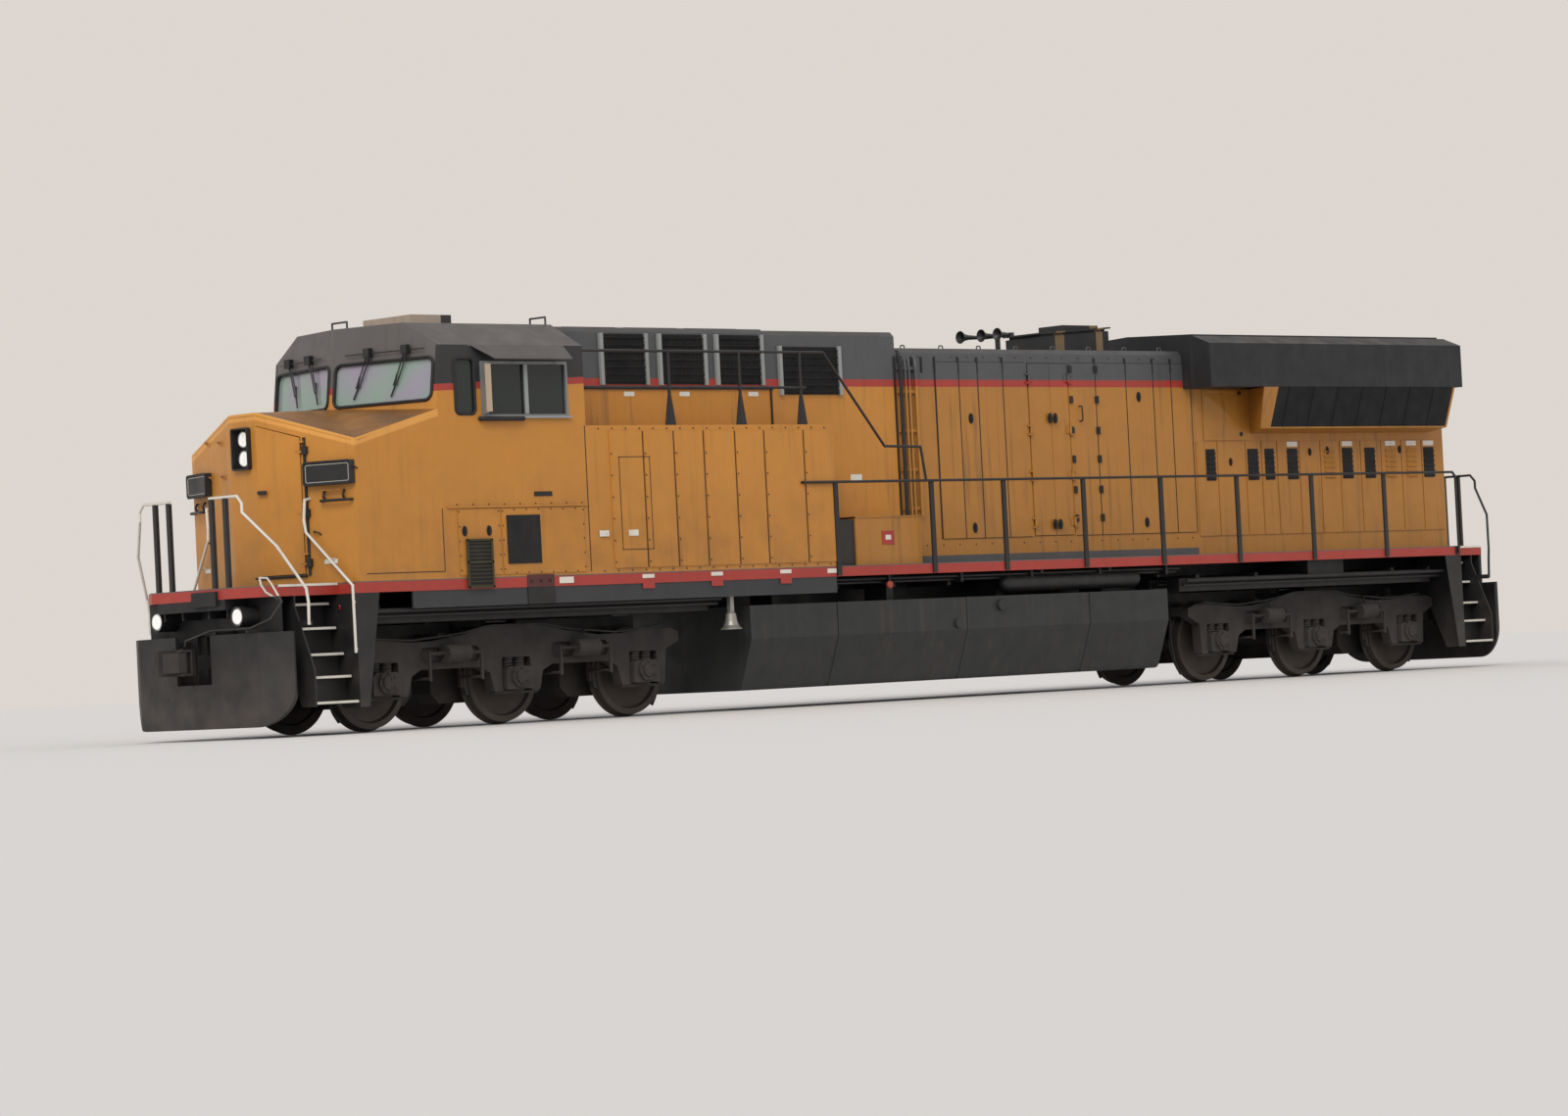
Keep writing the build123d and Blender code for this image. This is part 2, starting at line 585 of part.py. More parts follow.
grilles = [(4930, 5600, 4035, 4645), (3960, 4650, 4035, 4645), (3000, 3700, 4035, 4645),
           (1660, 2630, 3910, 4510)]
grille_parts = []
for x0, x1, z0, z1 in grilles:
    grille_parts.append(block(x0, x1, hood_half, hood_half + 10, z0, z1))
    for k in range(7):
        z = z0 + (k + 0.5) * (z1 - z0) / 7
        grille_parts.append(block(x0, x1, hood_half + 10, hood_half + 30, z - 10, z + 10))
louvre_spans = [(5240, 5430), (6100, 6320), (6460, 6650), (6930, 7150), (7720, 7940), (8110, 8330),
                (8600, 8820),
                (9060, 9280), (9520, 9740), (9900, 10130)]
louvres = [block(-b, -a, hood_half + 12, hood_half + 16, 2740, 3170) for a, b in louvre_spans]
for a, b in louvre_spans:
    for k in range(6):
        z = 2760 + k * 70
        louvres.append(side_prism([(-b, z), (-a, z), (-a, z + 18), (-b, z + 18)], hood_half + 16,
                                  hood_half + 32))
save("grilles", joined(both(grille_parts + louvres) + vents))

cabinet = block(cabinet_rear_x, cab_rear_x, hood_half, half_width, deck_top, cabinet_top)
cabinet = cabinet - block(cabinet_rear_x + 40, cab_rear_x - 40, hood_half + 40, half_width - 40, 1600,
                          cabinet_top - 40)
cabinet_seams = [6040, 5490, 4990, 4500, 3980, 3490, 2820, 2340]
cabinet_doors = [block(a - 14, b + 14, half_width, half_width + 12, 1790, 3430)
                 for a, b in zip(cabinet_seams, cabinet_seams[1:])]
save("inverter_cabinet", joined([cabinet] + cabinet_doors))

walkway_box = block(700, 1860, 1040, 1420, deck_top, 2330)
box_lid = block(690, 1870, 1030, 1430, 2330, 2345)
box_front = block(1860, 2150, 1040, 1400, deck_top, 2310)
save("walkway_boxes", joined([walkway_box, box_lid, box_front]))

hood_seams = [[-90, -520, -870], [-870, -1340, -1800], [-2580, -3110], [-3110, -3710, -4250], [-4250, -4610],
              [-4610, -5000]]
moving_seams = [-1800, -2220, -2580]
hood = hood_box(radiator_front_x, grid_rear_x, -hood_half, hood_half, hood_top, 60)
opening_x0 = moving_seams[2] + 10
opening_x1 = moving_seams[0] - 10
hood = hood - block(opening_x0, opening_x1, -1200, 1200, door_low, door_high)
door_proud = 12
leaf_y = hood_half + door_proud
hinge_y = leaf_y + hinge_offset
hinge_zs = (2180, 2800, 3400, 4080)
hood_front_hinges = [hinge(opening_x1 - door_gap / 2, hinge_y, z, (1, 0), (0, 1)) for z in hinge_zs]
hood_rear_hinges = [hinge(opening_x0 + door_gap / 2, hinge_y, z, (-1, 0), (0, 1)) for z in hinge_zs]
fixed_leaves = [carrier for carrier, strap in hood_front_hinges + hood_rear_hinges]
for group in hood_seams:
    for a, b in zip(group, group[1:]):
        fixed_leaves.append(block(b + 10, a - 10, hood_half, hood_half + door_proud, door_low, door_high))
wing_room = block(radiator_front_x - 10, wing_front_x, -half_width, half_width, wing_foot_z, 5000)
hatches = [block(x0, x1, -720, 720, hood_top, hood_top + 25) for x0, x1 in ((-480, 440), (-1640, -560))]
save("engine_hood", joined([hood] + hatches + both(fixed_leaves)) - wing_room)

leaf_spans = {"front": (moving_seams[1] + 4, opening_x1 - door_gap),
              "rear": (opening_x0 + door_gap, moving_seams[1] - 4)}
latch_end = {"front": moving_seams[1] + 50, "rear": moving_seams[1] - 50}
for end, (x0, x1) in leaf_spans.items():
    leaf = block(x0, x1, hood_half - 30, hood_half + door_proud, door_low + door_gap, door_high - door_gap)
    x = latch_end[end]
    latches = [block(x - 12, x + 12, hood_half + door_proud, hood_half + door_proud + 25, z - 60, z + 60)
               for z in (2200, 3600)]
    straps = [strap for carrier, strap in (hood_front_hinges if end == "front" else hood_rear_hinges)]
    leaf = joined([leaf] + latches + straps)
    save(f"hood_door_left_{end}", leaf)
    save(f"hood_door_right_{end}", across(leaf))

engine = block(-4700, 350, -720, 720, deck_top, 3950)
save("engine", engine)

silencer_x = wing_front_x + 670


def sloping_slab(front, rear, foot, thick, half):
    """Slab over the silencer that rises 90 mm from its front end to its rear end."""
    return side_prism([(silencer_x + front, foot), (silencer_x + front, foot + thick),
                       (silencer_x - rear, foot + thick + 90), (silencer_x - rear, foot + 90)], -half, half)


silencer = side_prism([(silencer_x + 1330, hood_top), (silencer_x + 1330, 4745), (silencer_x, 4835),
                       (silencer_x, hood_top)], -330, 330)
silencer_neck = sloping_slab(1290, -40, 4735, 45, 300)
silencer_lid = sloping_slab(1360, 20, 4775, 22, 355)
stack = block(silencer_x + 90, silencer_x + 790, -220, 220, 4800, 4915)
stack_hole = block(silencer_x + 130, silencer_x + 750, -180, 180, 4600, 5000)
save("exhaust_silencer", joined([silencer, silencer_neck, silencer_lid, stack]) - stack_hole)

horn_x = -2000
horn_z = hood_top + 235
horn_rows = [(60, 400), (340, 290), (580, 232)]
horn_parts = [block(horn_x - 120, horn_x + 60, 190, 490, hood_top, hood_top + 25),
              rod((horn_x, 340, hood_top + 20), (horn_x, 340, horn_z), 35),
              block(horn_x - 40, horn_x + 30, 30, 610, horn_z - 25, horn_z + 25)]
for y, length in horn_rows:
    mouth = [(0, 0), (0, 20), (0.65 * length, 34), (0.85 * length, 52), (length, 85), (length + 4, 78),
             (0.85 * length, 42), (0.6 * length, 0)]
    mouth_face = Face(Wire.make_polygon([(x, 0, z) for x, z in mouth]))
    horn_parts.append(Pos(horn_x + 20, y, horn_z) * revolve(mouth_face, Axis.X))
save("horn", joined(horn_parts))

radiator_body = hood_box(radiator_rear_x, radiator_front_x, -hood_half, hood_half, wing_foot_z, 1)
radiator_seams = [5050, 5480, 6060, 6390, 6720, 7190, 7640, 8060, 8510, 8960, 9410, 9860, 10310]
radiator_doors = [block(-b + 10, -a - 10, hood_half, hood_half + 12, 1990, 3270)
                  for a, b in zip(radiator_seams, radiator_seams[1:])]


def creased_cover(x0, x1, z0, z1, y0, y1):
    """Cover pressed out to a low point in its middle, with four creases running to its corners."""
    low = [(x0, y0, z0), (x1, y0, z0), (x1, y0, z1), (x0, y0, z1)]
    peak = ((x0 + x1) / 2, y1, (z0 + z1) / 2)
    faces = [Face(Wire.make_polygon([a, b, peak])) for a, b in zip(low, low[1:] + low[:1])]
    return Solid(Shell(faces + [Face(Wire.make_polygon(low))]))


creased = [block(-6190, -5230, hood_half, hood_half + 12, 3290, 3970),
           creased_cover(-6150, -5270, 3330, 3930, hood_half + 12, hood_half + 55)]
save("radiator_cab", joined([radiator_body] + both(radiator_doors + creased)))

wing_section = [(half_width, wing_foot_z), (half_width, wing_edge_z), (1250, wing_top_z), (0, wing_crown_z)]
wing_section += [(-y, z) for y, z in reversed(wing_section[:3])]
wings = end_prism(wing_section, wing_rear_x, wing_front_x)
well_section = [(half_width - 50, wing_foot_z - 50), (half_width - 50, wing_edge_z - 50),
                (1200, wing_top_z - 50)]
well_section += [(-y, z) for y, z in reversed(well_section)]
well = end_prism(well_section, wing_rear_x + 50, wing_front_x - 50)
well_floor = both([block(wing_front_x - 1100, wing_front_x - 20, hood_half, half_width - 20, wing_foot_z,
                         wing_foot_z + 30)])
chest_front = -5930
chest_root = -6200
chest_rear = -10050
chest_section = [(hood_half, 3380), (1360, 3430), (half_width, wing_foot_z), (hood_half, wing_foot_z)]
chest_nose = end_prism(chest_section, chest_root - 30, chest_front)
chest_nose = chest_nose - plan_prism([(chest_front, half_width), (chest_root, hood_half),
                                      (chest_root, hood_half - 50),
                                      (chest_front + 50, hood_half - 50), (chest_front + 50, half_width)],
                                      3300, 4100)
chest_plate_ends = both([end_prism(chest_section, chest_rear, chest_rear + 40), chest_nose])
chest_shelf = both([end_prism([(hood_half, 3380), (1360, 3430), (1360, 3450), (hood_half, 3400)], chest_rear,
                               chest_root)])
frame_half = 1150
frame_edge_z = wing_crown_z - (wing_crown_z - wing_top_z) * frame_half / 1250
frame_section = [(frame_half, frame_edge_z - 2), (0, wing_crown_z - 2), (-frame_half, frame_edge_z - 2),
                 (-frame_half, frame_edge_z + 22), (0, wing_crown_z + 22), (frame_half, frame_edge_z + 22)]
top_frames = [end_prism(frame_section, x - 30, x + 30) for x in range(-10130, -4900, 866)]
top_frames += both([block(wing_rear_x + 60, wing_front_x - 60, frame_half - 30, frame_half + 30,
                          wing_top_z - 2, wing_top_z + 26)])
top_frames.append(block(wing_rear_x + 60, wing_front_x - 60, -30, 30, wing_crown_z - 5, wing_crown_z + 22))
save("radiator_wings", joined([(wings - well)] + well_floor + chest_plate_ends + chest_shelf + top_frames))
screen = end_prism([(1350, 3452), (1366, 3452), (half_width - 4, wing_foot_z),
                    (half_width - 22, wing_foot_z)],
                   chest_rear + 40, chest_root - 30)
screen_ribs = [end_prism([(1364, 3452), (1378, 3452), (half_width + 8, wing_foot_z),
                          (half_width - 4, wing_foot_z)],
                         x - 15, x + 15) for x in range(-9600, -6300, 520)]
save("radiator_screens", joined(both([screen] + screen_ribs)))

# Handrails

rail_r = 17
rail_z = 2778
rail_y = half_width + 35
post_foot = sill_foot + 10
rail_end_x = -9900
left_posts = [2315, 620, -700, -2200, -3710, -5240, -6790, -8340]
right_posts = [5800, 4600, 3400] + left_posts


def side_rails(start_x, posts):
    """Walkway rail on the left side, with flat posts bolted to the outside of the sill."""
    parts = pipe([(start_x, rail_y, rail_z), (rail_end_x + 60, rail_y, rail_z),
                  (rail_end_x, rail_y, rail_z - 60),
                  (rail_end_x, rail_y, post_foot + 20)], rail_r)
    parts += [block(x - 36, x + 36, half_width, half_width + 25, post_foot, rail_z) for x in posts]
    parts.append(block(rail_end_x - 36, rail_end_x + 36, half_width, half_width + 25, post_foot,
                       post_foot + 110))
    return parts


side_rail = side_rails(2890, left_posts) + [across(part) for part in side_rails(5836, right_posts)]
side_rail.append(block(2875, 2905, half_width + 12, rail_y, rail_z - 13, rail_z + 13))

post_top = 2743
front_cheek_rail = step_front_x + rail_r
rear_cheek_rail = step_rear_x + rail_r
bar_z = post_top + rail_r
end_rail = [(11100, 375, bar_z), (11100, 900, bar_z), (11100, 980, bar_z - 85), (11100, 980, 2571),
            (10900, 1325, 2170),
            (front_cheek_rail + 20, 1520, 1672), (front_cheek_rail, 1524, 1520),
            (front_cheek_rail, 1514, 1262)]
nose_rail = [(10040, 931, 2723), (10167, 937, 2700), (10174, 915, 2470), (10168, 934, 2330),
             (rear_cheek_rail, 1530, 1690), (rear_cheek_rail, 1533, 920)]
front_rail = pipe(end_rail, rail_r) + pipe(nose_rail, rail_r)
front_rail.append(rod((9960, 1210, 2010), (10078, 1240, 2010), 10))
for x, y, zs in ((front_cheek_rail, 1514, (1275,)), (rear_cheek_rail, 1533, (960, 1500))):
    front_rail += [block(x - rail_r, x, y - 13, y + 13, z - 13, z + 13) for z in zs]
front_rail = joined(front_rail) - cab_volume(0)
save("front_handrails", joined(both(front_rail.solids())))
posts = [block(11075, 11120, y - 30, y + 30, deck_top, post_top) for y in (410, 670)]
rear_rail = pipe([(-x, y, z) for x, y, z in end_rail], rail_r)
rear_rail.append(block(-step_front_x, -front_cheek_rail, 1501, 1527, 1262, 1288))
rear_rail += [endways(across(post)) for post in posts]

top_rail_y = 1515
top_rail_z = 4400
top_rail = pipe([(6360, top_rail_y, top_rail_z), (2370, top_rail_y, top_rail_z), (1437, rail_y, 3219),
                 (799, rail_y, 3208), (724, rail_y, rail_z)], rail_r)
top_rail += pipe([(6360, top_rail_y, 3960), (2700, top_rail_y, 3960)], rail_r)
for x in (4980, 3810, 2780):
    top_rail.append(rod((x, top_rail_y, cabinet_top), (x, top_rail_y, top_rail_z), 20))
    top_rail.append(side_prism([(x - 85, cabinet_top), (x + 85, cabinet_top), (x + 24, 3860), (x - 24, 3860)],
                               top_rail_y - 8, top_rail_y + 8))
save("side_handrails", joined(side_rail + both(joined(posts + rear_rail).solids()) + top_rail))

# Drawgear

shank = block(coupler_pivot_x - 80, 11180, -65, 65, coupler_z - 80, coupler_z + 80)
head_plan = [(11150, -65), (11150, 65), (11230, 150), (11300, 175), (11310, 170), (11310, -60), (11400, -95),
             (11540, -150), (11560, -190), (11500, -200), (11250, -150)]
head = plan_prism(head_plan, coupler_z - 150, coupler_z + 150)
lug_reach = 150
lug_gap = 8
knuckle_half = 112
lug_plan = [(11300, 65), (11300, 175), (11440, 175), (11455, 120), (11440, 65)]
lugs = [plan_prism(lug_plan, coupler_z + knuckle_half + lug_gap, coupler_z + lug_reach),
        plan_prism(lug_plan, coupler_z - lug_reach, coupler_z - knuckle_half - lug_gap)]
knuckle_pin = rod((knuckle_x, knuckle_y, coupler_z - lug_reach - 10),
                  (knuckle_x, knuckle_y, coupler_z + lug_reach + 10),
                  knuckle_pin_radius)
pivot_hole = rod((coupler_pivot_x, 0, coupler_z - 200), (coupler_pivot_x, 0, coupler_z + 200),
                 coupler_pin_radius + bearing_clearance)
coupler = joined([shank, head, knuckle_pin] + lugs) - pivot_hole
save("front_coupler", coupler)
save("rear_coupler", endways(coupler))
knuckle_plan = [(knuckle_x, 60), (knuckle_x, 180), (11480, 165), (11560, 110), (coupler_face_x, 40),
                (11570, -20),
                (11520, -30), (11510, 20), (11470, 58)]
knuckle = plan_prism(knuckle_plan, coupler_z - knuckle_half, coupler_z + knuckle_half)
knuckle = knuckle + Pos(knuckle_x, knuckle_y, coupler_z) * Cylinder(60, 2 * knuckle_half)
knuckle = knuckle - rod((knuckle_x, knuckle_y, 500), (knuckle_x, knuckle_y, 1300),
                        knuckle_pin_radius + bearing_clearance)
save("front_knuckle", knuckle)
save("rear_knuckle", endways(knuckle))
lever_x = 11135
lever = pipe([(11330, 90, 1085), (11330, 110, 1150), (lever_x, 330, lever_z), (lever_x, 1060, lever_z),
              (lever_x, 1450, 1342),
              (11010, 1520, 1530)], lever_r)
loop = [(11010, 1520, 1530), (11050, 1290, 1648), (11050, 1200, 1741), (11050, 1180, 1817),
        (11050, 1320, 1810),
        (11050, 1390, 1747), (11010, 1520, 1530)]
lever += pipe(loop, lever_r)
lever.append(Pos(11010, 1520, 1530) * Sphere(lever_r))
front_lever = joined(lever)
rear_lever = joined(pipe([(11300, 90, 1085), (11300, 110, 1150), (11012, 330, lever_z),
                          (11012, 1060, lever_z),
                          (11012, 1400, 1320), (11012, 1460, 1480)], lever_r))
save("uncoupling_levers", joined([front_lever, endways(rear_lever)]))

# Trucks

side_y0 = 940
side_y1 = 1090
jaw_half = 220
jaw_foot = 390
jaw_roof = 790
box_half = 205
shoe_gap = 8
shoe_thick = 50


def truck_frame():
    """Cast frame about its own centre: two side frames with pedestals, cross members and centre bearing."""
    half = [(0, 1165), (430, 1165), (800, 1080), (1300, 1015), (1650, 1015), (2050, 1060), (2480, 1050),
            (2600, 1010),
            (2600, 900), (2380, 800), (axle_pitch + jaw_half + 120, jaw_foot),
            (axle_pitch + jaw_half, jaw_foot),
            (axle_pitch + jaw_half, jaw_roof), (axle_pitch - jaw_half, jaw_roof),
            (axle_pitch - jaw_half, jaw_foot),
            (axle_pitch - jaw_half - 130, jaw_foot), (1590, 620), (1450, 690), (560, 690), (410, 620),
            (jaw_half + 130, jaw_foot), (jaw_half, jaw_foot), (jaw_half, jaw_roof)]
    side = side_prism(half + [(-x, z) for x, z in reversed(half[1:])], side_y0, side_y1)
    side = fillet(side.edges().filter_by(Axis.Y), 24)
    for x0, x1 in ((560, 880), (1130, 1450)):
        for a, b in ((x0, x1), (-x1, -x0)):
            side = side - side_hole(a, b, 765, 945, 60, side_y1 - 45, side_y1 + 10)
    binders = [block(x - jaw_half - 110, x + jaw_half + 110, side_y0 + 25, side_y1 - 25, jaw_foot - 30,
                     jaw_foot)
               for x in (-axle_pitch, 0, axle_pitch)]
    ties = [block(x - 50, x + 50, -side_y0, side_y0, 910, 1040) for x in (-2550, 2550)]
    ties += [block(x - 50, x + 50, -side_y0, side_y0, 1020, 1110) for x in (-axle_pitch / 2, axle_pitch / 2)]
    beam = block(-axle_pitch / 2, axle_pitch / 2, -260, 260, 1020, 1110)
    bowl = Pos(0, 0, (1110 + plate_foot - running_gap) / 2) * Cylinder(400, plate_foot - running_gap - 1110)
    pin_hole = rod((0, 0, 900), (0, 0, 1300), centre_pin_radius + bearing_clearance)
    return joined(both([side] + binders) + ties + [beam, bowl]) - pin_hole


def axle_box(x):
    """Journal housing with its round end cover and the two springs on top."""
    body = side_prism([(x - box_half, axle_z - 150), (x + box_half, axle_z - 150),
                       (x + box_half, axle_z + 70),
                       (x + 150, axle_z + 120), (x - 150, axle_z + 120), (x - box_half, axle_z + 70)],
                      side_y0 - 20, side_y1 + 60)
    body = fillet(body.edges().filter_by(Axis.Y), 22)
    bore = rod((x, side_y0 - 50, axle_z), (x, journal_reach + 10, axle_z), journal_radius + bearing_clearance)
    cover = rod((x, side_y1 + 60, axle_z), (x, side_y1 + 90, axle_z), 132)
    cap = rod((x, side_y1 + 90, axle_z), (x, side_y1 + 108, axle_z), 82)
    springs = [rod((x + dx, 1015, axle_z + 120), (x + dx, 1015, jaw_roof), 62) for dx in (-88, 88)]
    return joined([body - bore, cover, cap] + springs)


def brake_shoe(x, way):
    """Shoe on one wheel's tread with its holder, hanger and cross pin; way is +1 ahead of the axle."""
    near = wheel_radius + shoe_gap
    ring = Pos(0, 768, 0) * Rot(90, 0, 0) * (Cylinder(near + shoe_thick, 85) - Cylinder(near, 100))
    pad = ring & block(400, 700, 700, 830, -190, 150)
    holder = block(near + shoe_thick - 14, near + shoe_thick + 40, 745, 800, -100, 90)
    hanger = block(near + shoe_thick + 5, near + shoe_thick + 40, 755, 790, 80, 440)
    lug = block(near + shoe_thick + 5, near + shoe_thick + 40, 755, side_y0, 400, 440)
    pin = rod((near + shoe_thick + 22, 760, 20), (near + shoe_thick + 22, 1205, 20), 17)
    lever = block(near + shoe_thick + 6, near + shoe_thick + 38, 1180, 1205, -10, 340)
    shoe = Pos(0, 0, axle_z) * joined([pad, holder, hanger, lug, pin, lever])
    return Pos(x, 0, 0) * (shoe if way > 0 else mirror(shoe, about=Plane.YZ))


def truck_gear():
    """Axle boxes with their springs, and a brake cylinder with two shoes between each pair of axles."""
    parts = [axle_box(x) for x in (-axle_pitch, 0, axle_pitch)]
    for middle in (-axle_pitch / 2, axle_pitch / 2):
        inner = middle - axle_pitch / 2
        outer = middle + axle_pitch / 2
        cylinder = rod((middle - 170, 1200, 870), (middle + 170, 1200, 870), 105)
        foot = block(middle - 60, middle + 60, side_y1, 1130, 800, 940)
        push = rod((inner + 620, 1192, 870), (outer - 620, 1192, 870), 20)
        parts.append(joined([cylinder, foot, push, brake_shoe(inner, 1), brake_shoe(outer, -1)]))
    return parts


def traction_motors(way):
    """Motors hung beside each axle, about the truck's centre."""
    parts = []
    half = [(60, 420), (170, 280), (740, 280), (860, 400), (860, 860), (760, 960), (210, 960), (60, 760)]
    for axle, side, nose_top in ((-axle_pitch, 1, 1060), (0, way, 1020), (axle_pitch, -1, 1060)):
        body = side_prism([(axle + side * x, z) for x, z in half], -520, 520)
        nose = block(axle + side * 840, axle + side * 955, -150, 150, 880, nose_top)
        parts.append((body + nose) - rod((axle, -600, axle_z), (axle, 600, axle_z), axle_radius + 20))
    return parts


def wheelset():
    """Two flanged wheels on one axle, about the axle's own centre."""
    inner = wheel_inner_gap / 2
    rim = [(0, inner - 60), (axle_radius + 60, inner - 60), (axle_radius + 60, inner + 20), (430, inner + 30),
           (450, inner), (wheel_radius + flange_height - 8, inner),
           (wheel_radius + flange_height, inner + 12),
           (wheel_radius + flange_height - 6, inner + 22), (wheel_radius + 4, inner + 34),
           (wheel_radius, inner + 46),
           (wheel_radius - 4, inner + wheel_width), (460, inner + wheel_width), (440, inner + 95),
           (axle_radius + 70, inner + 80), (axle_radius + 60, inner + wheel_width), (0, inner + wheel_width)]
    face = Face(Wire.make_polygon([(0, y, r) for r, y in rim]))
    wheel = revolve(face, Axis.Y)
    axle = rod((0, -inner, 0), (0, inner, 0), axle_radius)
    stub = rod((0, inner + wheel_width, 0), (0, journal_reach, 0), journal_radius)
    return joined([axle] + both([wheel, stub]))


frame = truck_frame()
gear = both(truck_gear())
wheels = wheelset()
for end, s in (("front", 1), ("rear", -1)):
    place = Pos(s * truck_centre_x, 0, 0)
    save(f"{end}_truck_frame", place * frame)
    save(f"{end}_truck_gear", place * joined(gear))
    save(f"{end}_traction_motors", place * joined(traction_motors(s)))
axle_xs = [s * truck_centre_x + k * axle_pitch for s in (1, -1) for k in (1, 0, -1)]
for number, x in enumerate(axle_xs, 1):
    save(f"wheelset_{number}", Pos(x, 0, axle_z) * wheels)
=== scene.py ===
# %% [markdown]
# # A six-axle diesel locomotive, dressed in Blender
# The solid model gives every real size. This file adds finishes and small parts such as gaskets, bolts and
# springs. All share one frame: X forward, Y to the left, Z up, in metres.

# %% Load the solid model
import bpy
import bmesh
import math
import numpy as np
from mathutils import Matrix


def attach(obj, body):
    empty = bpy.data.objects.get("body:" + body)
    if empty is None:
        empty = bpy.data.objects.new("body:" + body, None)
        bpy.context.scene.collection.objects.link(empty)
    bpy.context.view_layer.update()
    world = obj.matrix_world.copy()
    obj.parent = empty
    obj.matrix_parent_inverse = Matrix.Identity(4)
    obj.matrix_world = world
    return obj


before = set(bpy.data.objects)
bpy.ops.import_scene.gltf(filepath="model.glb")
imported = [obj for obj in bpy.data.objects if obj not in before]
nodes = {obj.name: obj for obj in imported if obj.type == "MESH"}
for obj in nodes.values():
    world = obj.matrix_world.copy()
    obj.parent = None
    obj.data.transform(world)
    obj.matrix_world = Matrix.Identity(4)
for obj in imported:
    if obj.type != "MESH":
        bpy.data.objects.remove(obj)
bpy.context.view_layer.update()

# %% [markdown]
# ## Places used again and again
# Small parts sit on a few centres and sheets. The first two sheet numbers lie 2 mm inside the sheet, so that
# what sits there is seated.

# %% Places
TRUCK_X = 7.25      # truck centres, ahead of and behind the vehicle's middle
AXLE_STEP = 2.01    # from one axle to the next
AXLE_Z = 0.561      # height of the axles
CYLINDER_X = 1.005  # brake cylinders, from the truck centre
HOOD_Y = 1.018      # side sheet of the hood and of the grid cab
CAB_Y = 1.548       # side sheet of the cab, the tall cabinet and the sill
BOX_Y = 1.562       # face of the cabinet doors and window frames
ENDS = (("front", 1), ("rear", -1))
AHEAD, LEFT = (1, 0, 0), (0, 1, 0)
AXLES = {way: [way * TRUCK_X + k * AXLE_STEP for k in (-1, 0, 1)] for way in (1, -1)}
print("axles at x", AXLES)

# %% [markdown]
# ## Shapes from arrays
# A part is a pair: an array of points, and a list of face arrays that number them. It could be modelled by
# hand, but arrays keep every copy alike.

# %% Bars along a path
def grid_faces(rows, columns, wrap_rows, wrap_columns):
    """Four-sided faces of a grid of points: each joins a point to the next in its row and column."""
    r = np.arange(rows if wrap_rows else rows - 1)
    c = np.arange(columns if wrap_columns else columns - 1)
    r, c = np.meshgrid(r, c, indexing="ij")
    r2, c2 = (r + 1) % rows, (c + 1) % columns
    return np.stack([r * columns + c, r2 * columns + c, r2 * columns + c2, r * columns + c2], -1).reshape(-1, 4)


def circle(side, up, count):
    """Directions spaced evenly round a full turn: side times cos a plus up times sin a."""
    a = np.linspace(0, 2 * np.pi, count, endpoint=False)
    return np.cos(a)[:, None] * side + np.sin(a)[:, None] * up


def bar(path, radius, sides=8, closed=False):
    """Round bar: each path point plus radius times (cos a, sin a) in the plane square to the path."""
    path = np.asarray(path, float)
    if closed:
        run = np.roll(path, -1, 0) - np.roll(path, 1, 0)
    else:
        run = np.gradient(path, axis=0)
    run /= np.linalg.norm(run, axis=1)[:, None]
    side = np.cross(run, np.array([0.31, 0.57, 0.76]))
    side /= np.linalg.norm(side, axis=1)[:, None]
    up = np.cross(side, run)
    ring = circle(side[:, None], up[:, None], sides)
    points = (path[:, None] + np.reshape(radius, (-1, 1, 1)) * ring).reshape(-1, 3)
    faces = [grid_faces(len(path), sides, closed, True)]
    if not closed:
        faces.append(np.stack([np.arange(sides), len(path) * sides - 1 - np.arange(sides)]))
    return points, faces


def rounded(corners, reach):
    """Path through corners, each corner eased by a curve that starts and ends at reach from it."""
    p = np.asarray(corners, float)
    before = p[:-2] - p[1:-1]
    after = p[2:] - p[1:-1]
    far_before = np.linalg.norm(before, axis=1)[:, None]
    far_after = np.linalg.norm(after, axis=1)[:, None]
    a = p[1:-1] + before / far_before * np.minimum(reach, 0.48 * far_before)
    b = p[1:-1] + after / far_after * np.minimum(reach, 0.48 * far_after)
    t = np.linspace(0, 1, 5)[None, :, None]
    eased = (1 - t) ** 2 * a[:, None] + 2 * t * (1 - t) * p[1:-1, None] + t ** 2 * b[:, None]
    return np.concatenate([p[:1], eased.reshape(-1, 3), p[-1:]])

# %% [markdown]
# ## Boxes, turned forms and bolt heads
# Many boxes at once, a profile turned round an axis, and many bolt heads: each is one array sum.

# %% Boxes, turned forms and bolt heads
def blocks(rows):
    """Many boxes: rows of x0, x1, y0, y1, z0, z1; each box takes every mix of its low and high ends."""
    rows = np.asarray(rows, float).reshape(-1, 3, 2)
    pick = np.array([[x, y, z] for x in (0, 1) for y in (0, 1) for z in (0, 1)])
    points = np.stack([rows[:, k, :][:, pick[:, k]] for k in range(3)], -1)
    quads = np.array([[0, 1, 3, 2], [4, 6, 7, 5], [0, 4, 5, 1], [2, 3, 7, 6], [0, 2, 6, 4], [1, 5, 7, 3]])
    faces = (quads[None] + 8 * np.arange(len(rows))[:, None, None]).reshape(-1, 4)
    return points.reshape(-1, 3), [faces]


def posts(centres, half, *yz):
    """Rows for blocks: upright boxes that reach half ahead of and behind each x."""
    return [(x - half, x + half, *yz) for x in centres]


def rails(centres, half, *xy):
    """Rows for blocks: level boxes that reach half above and below each z."""
    return [(*xy, z - half, z + half) for z in centres]


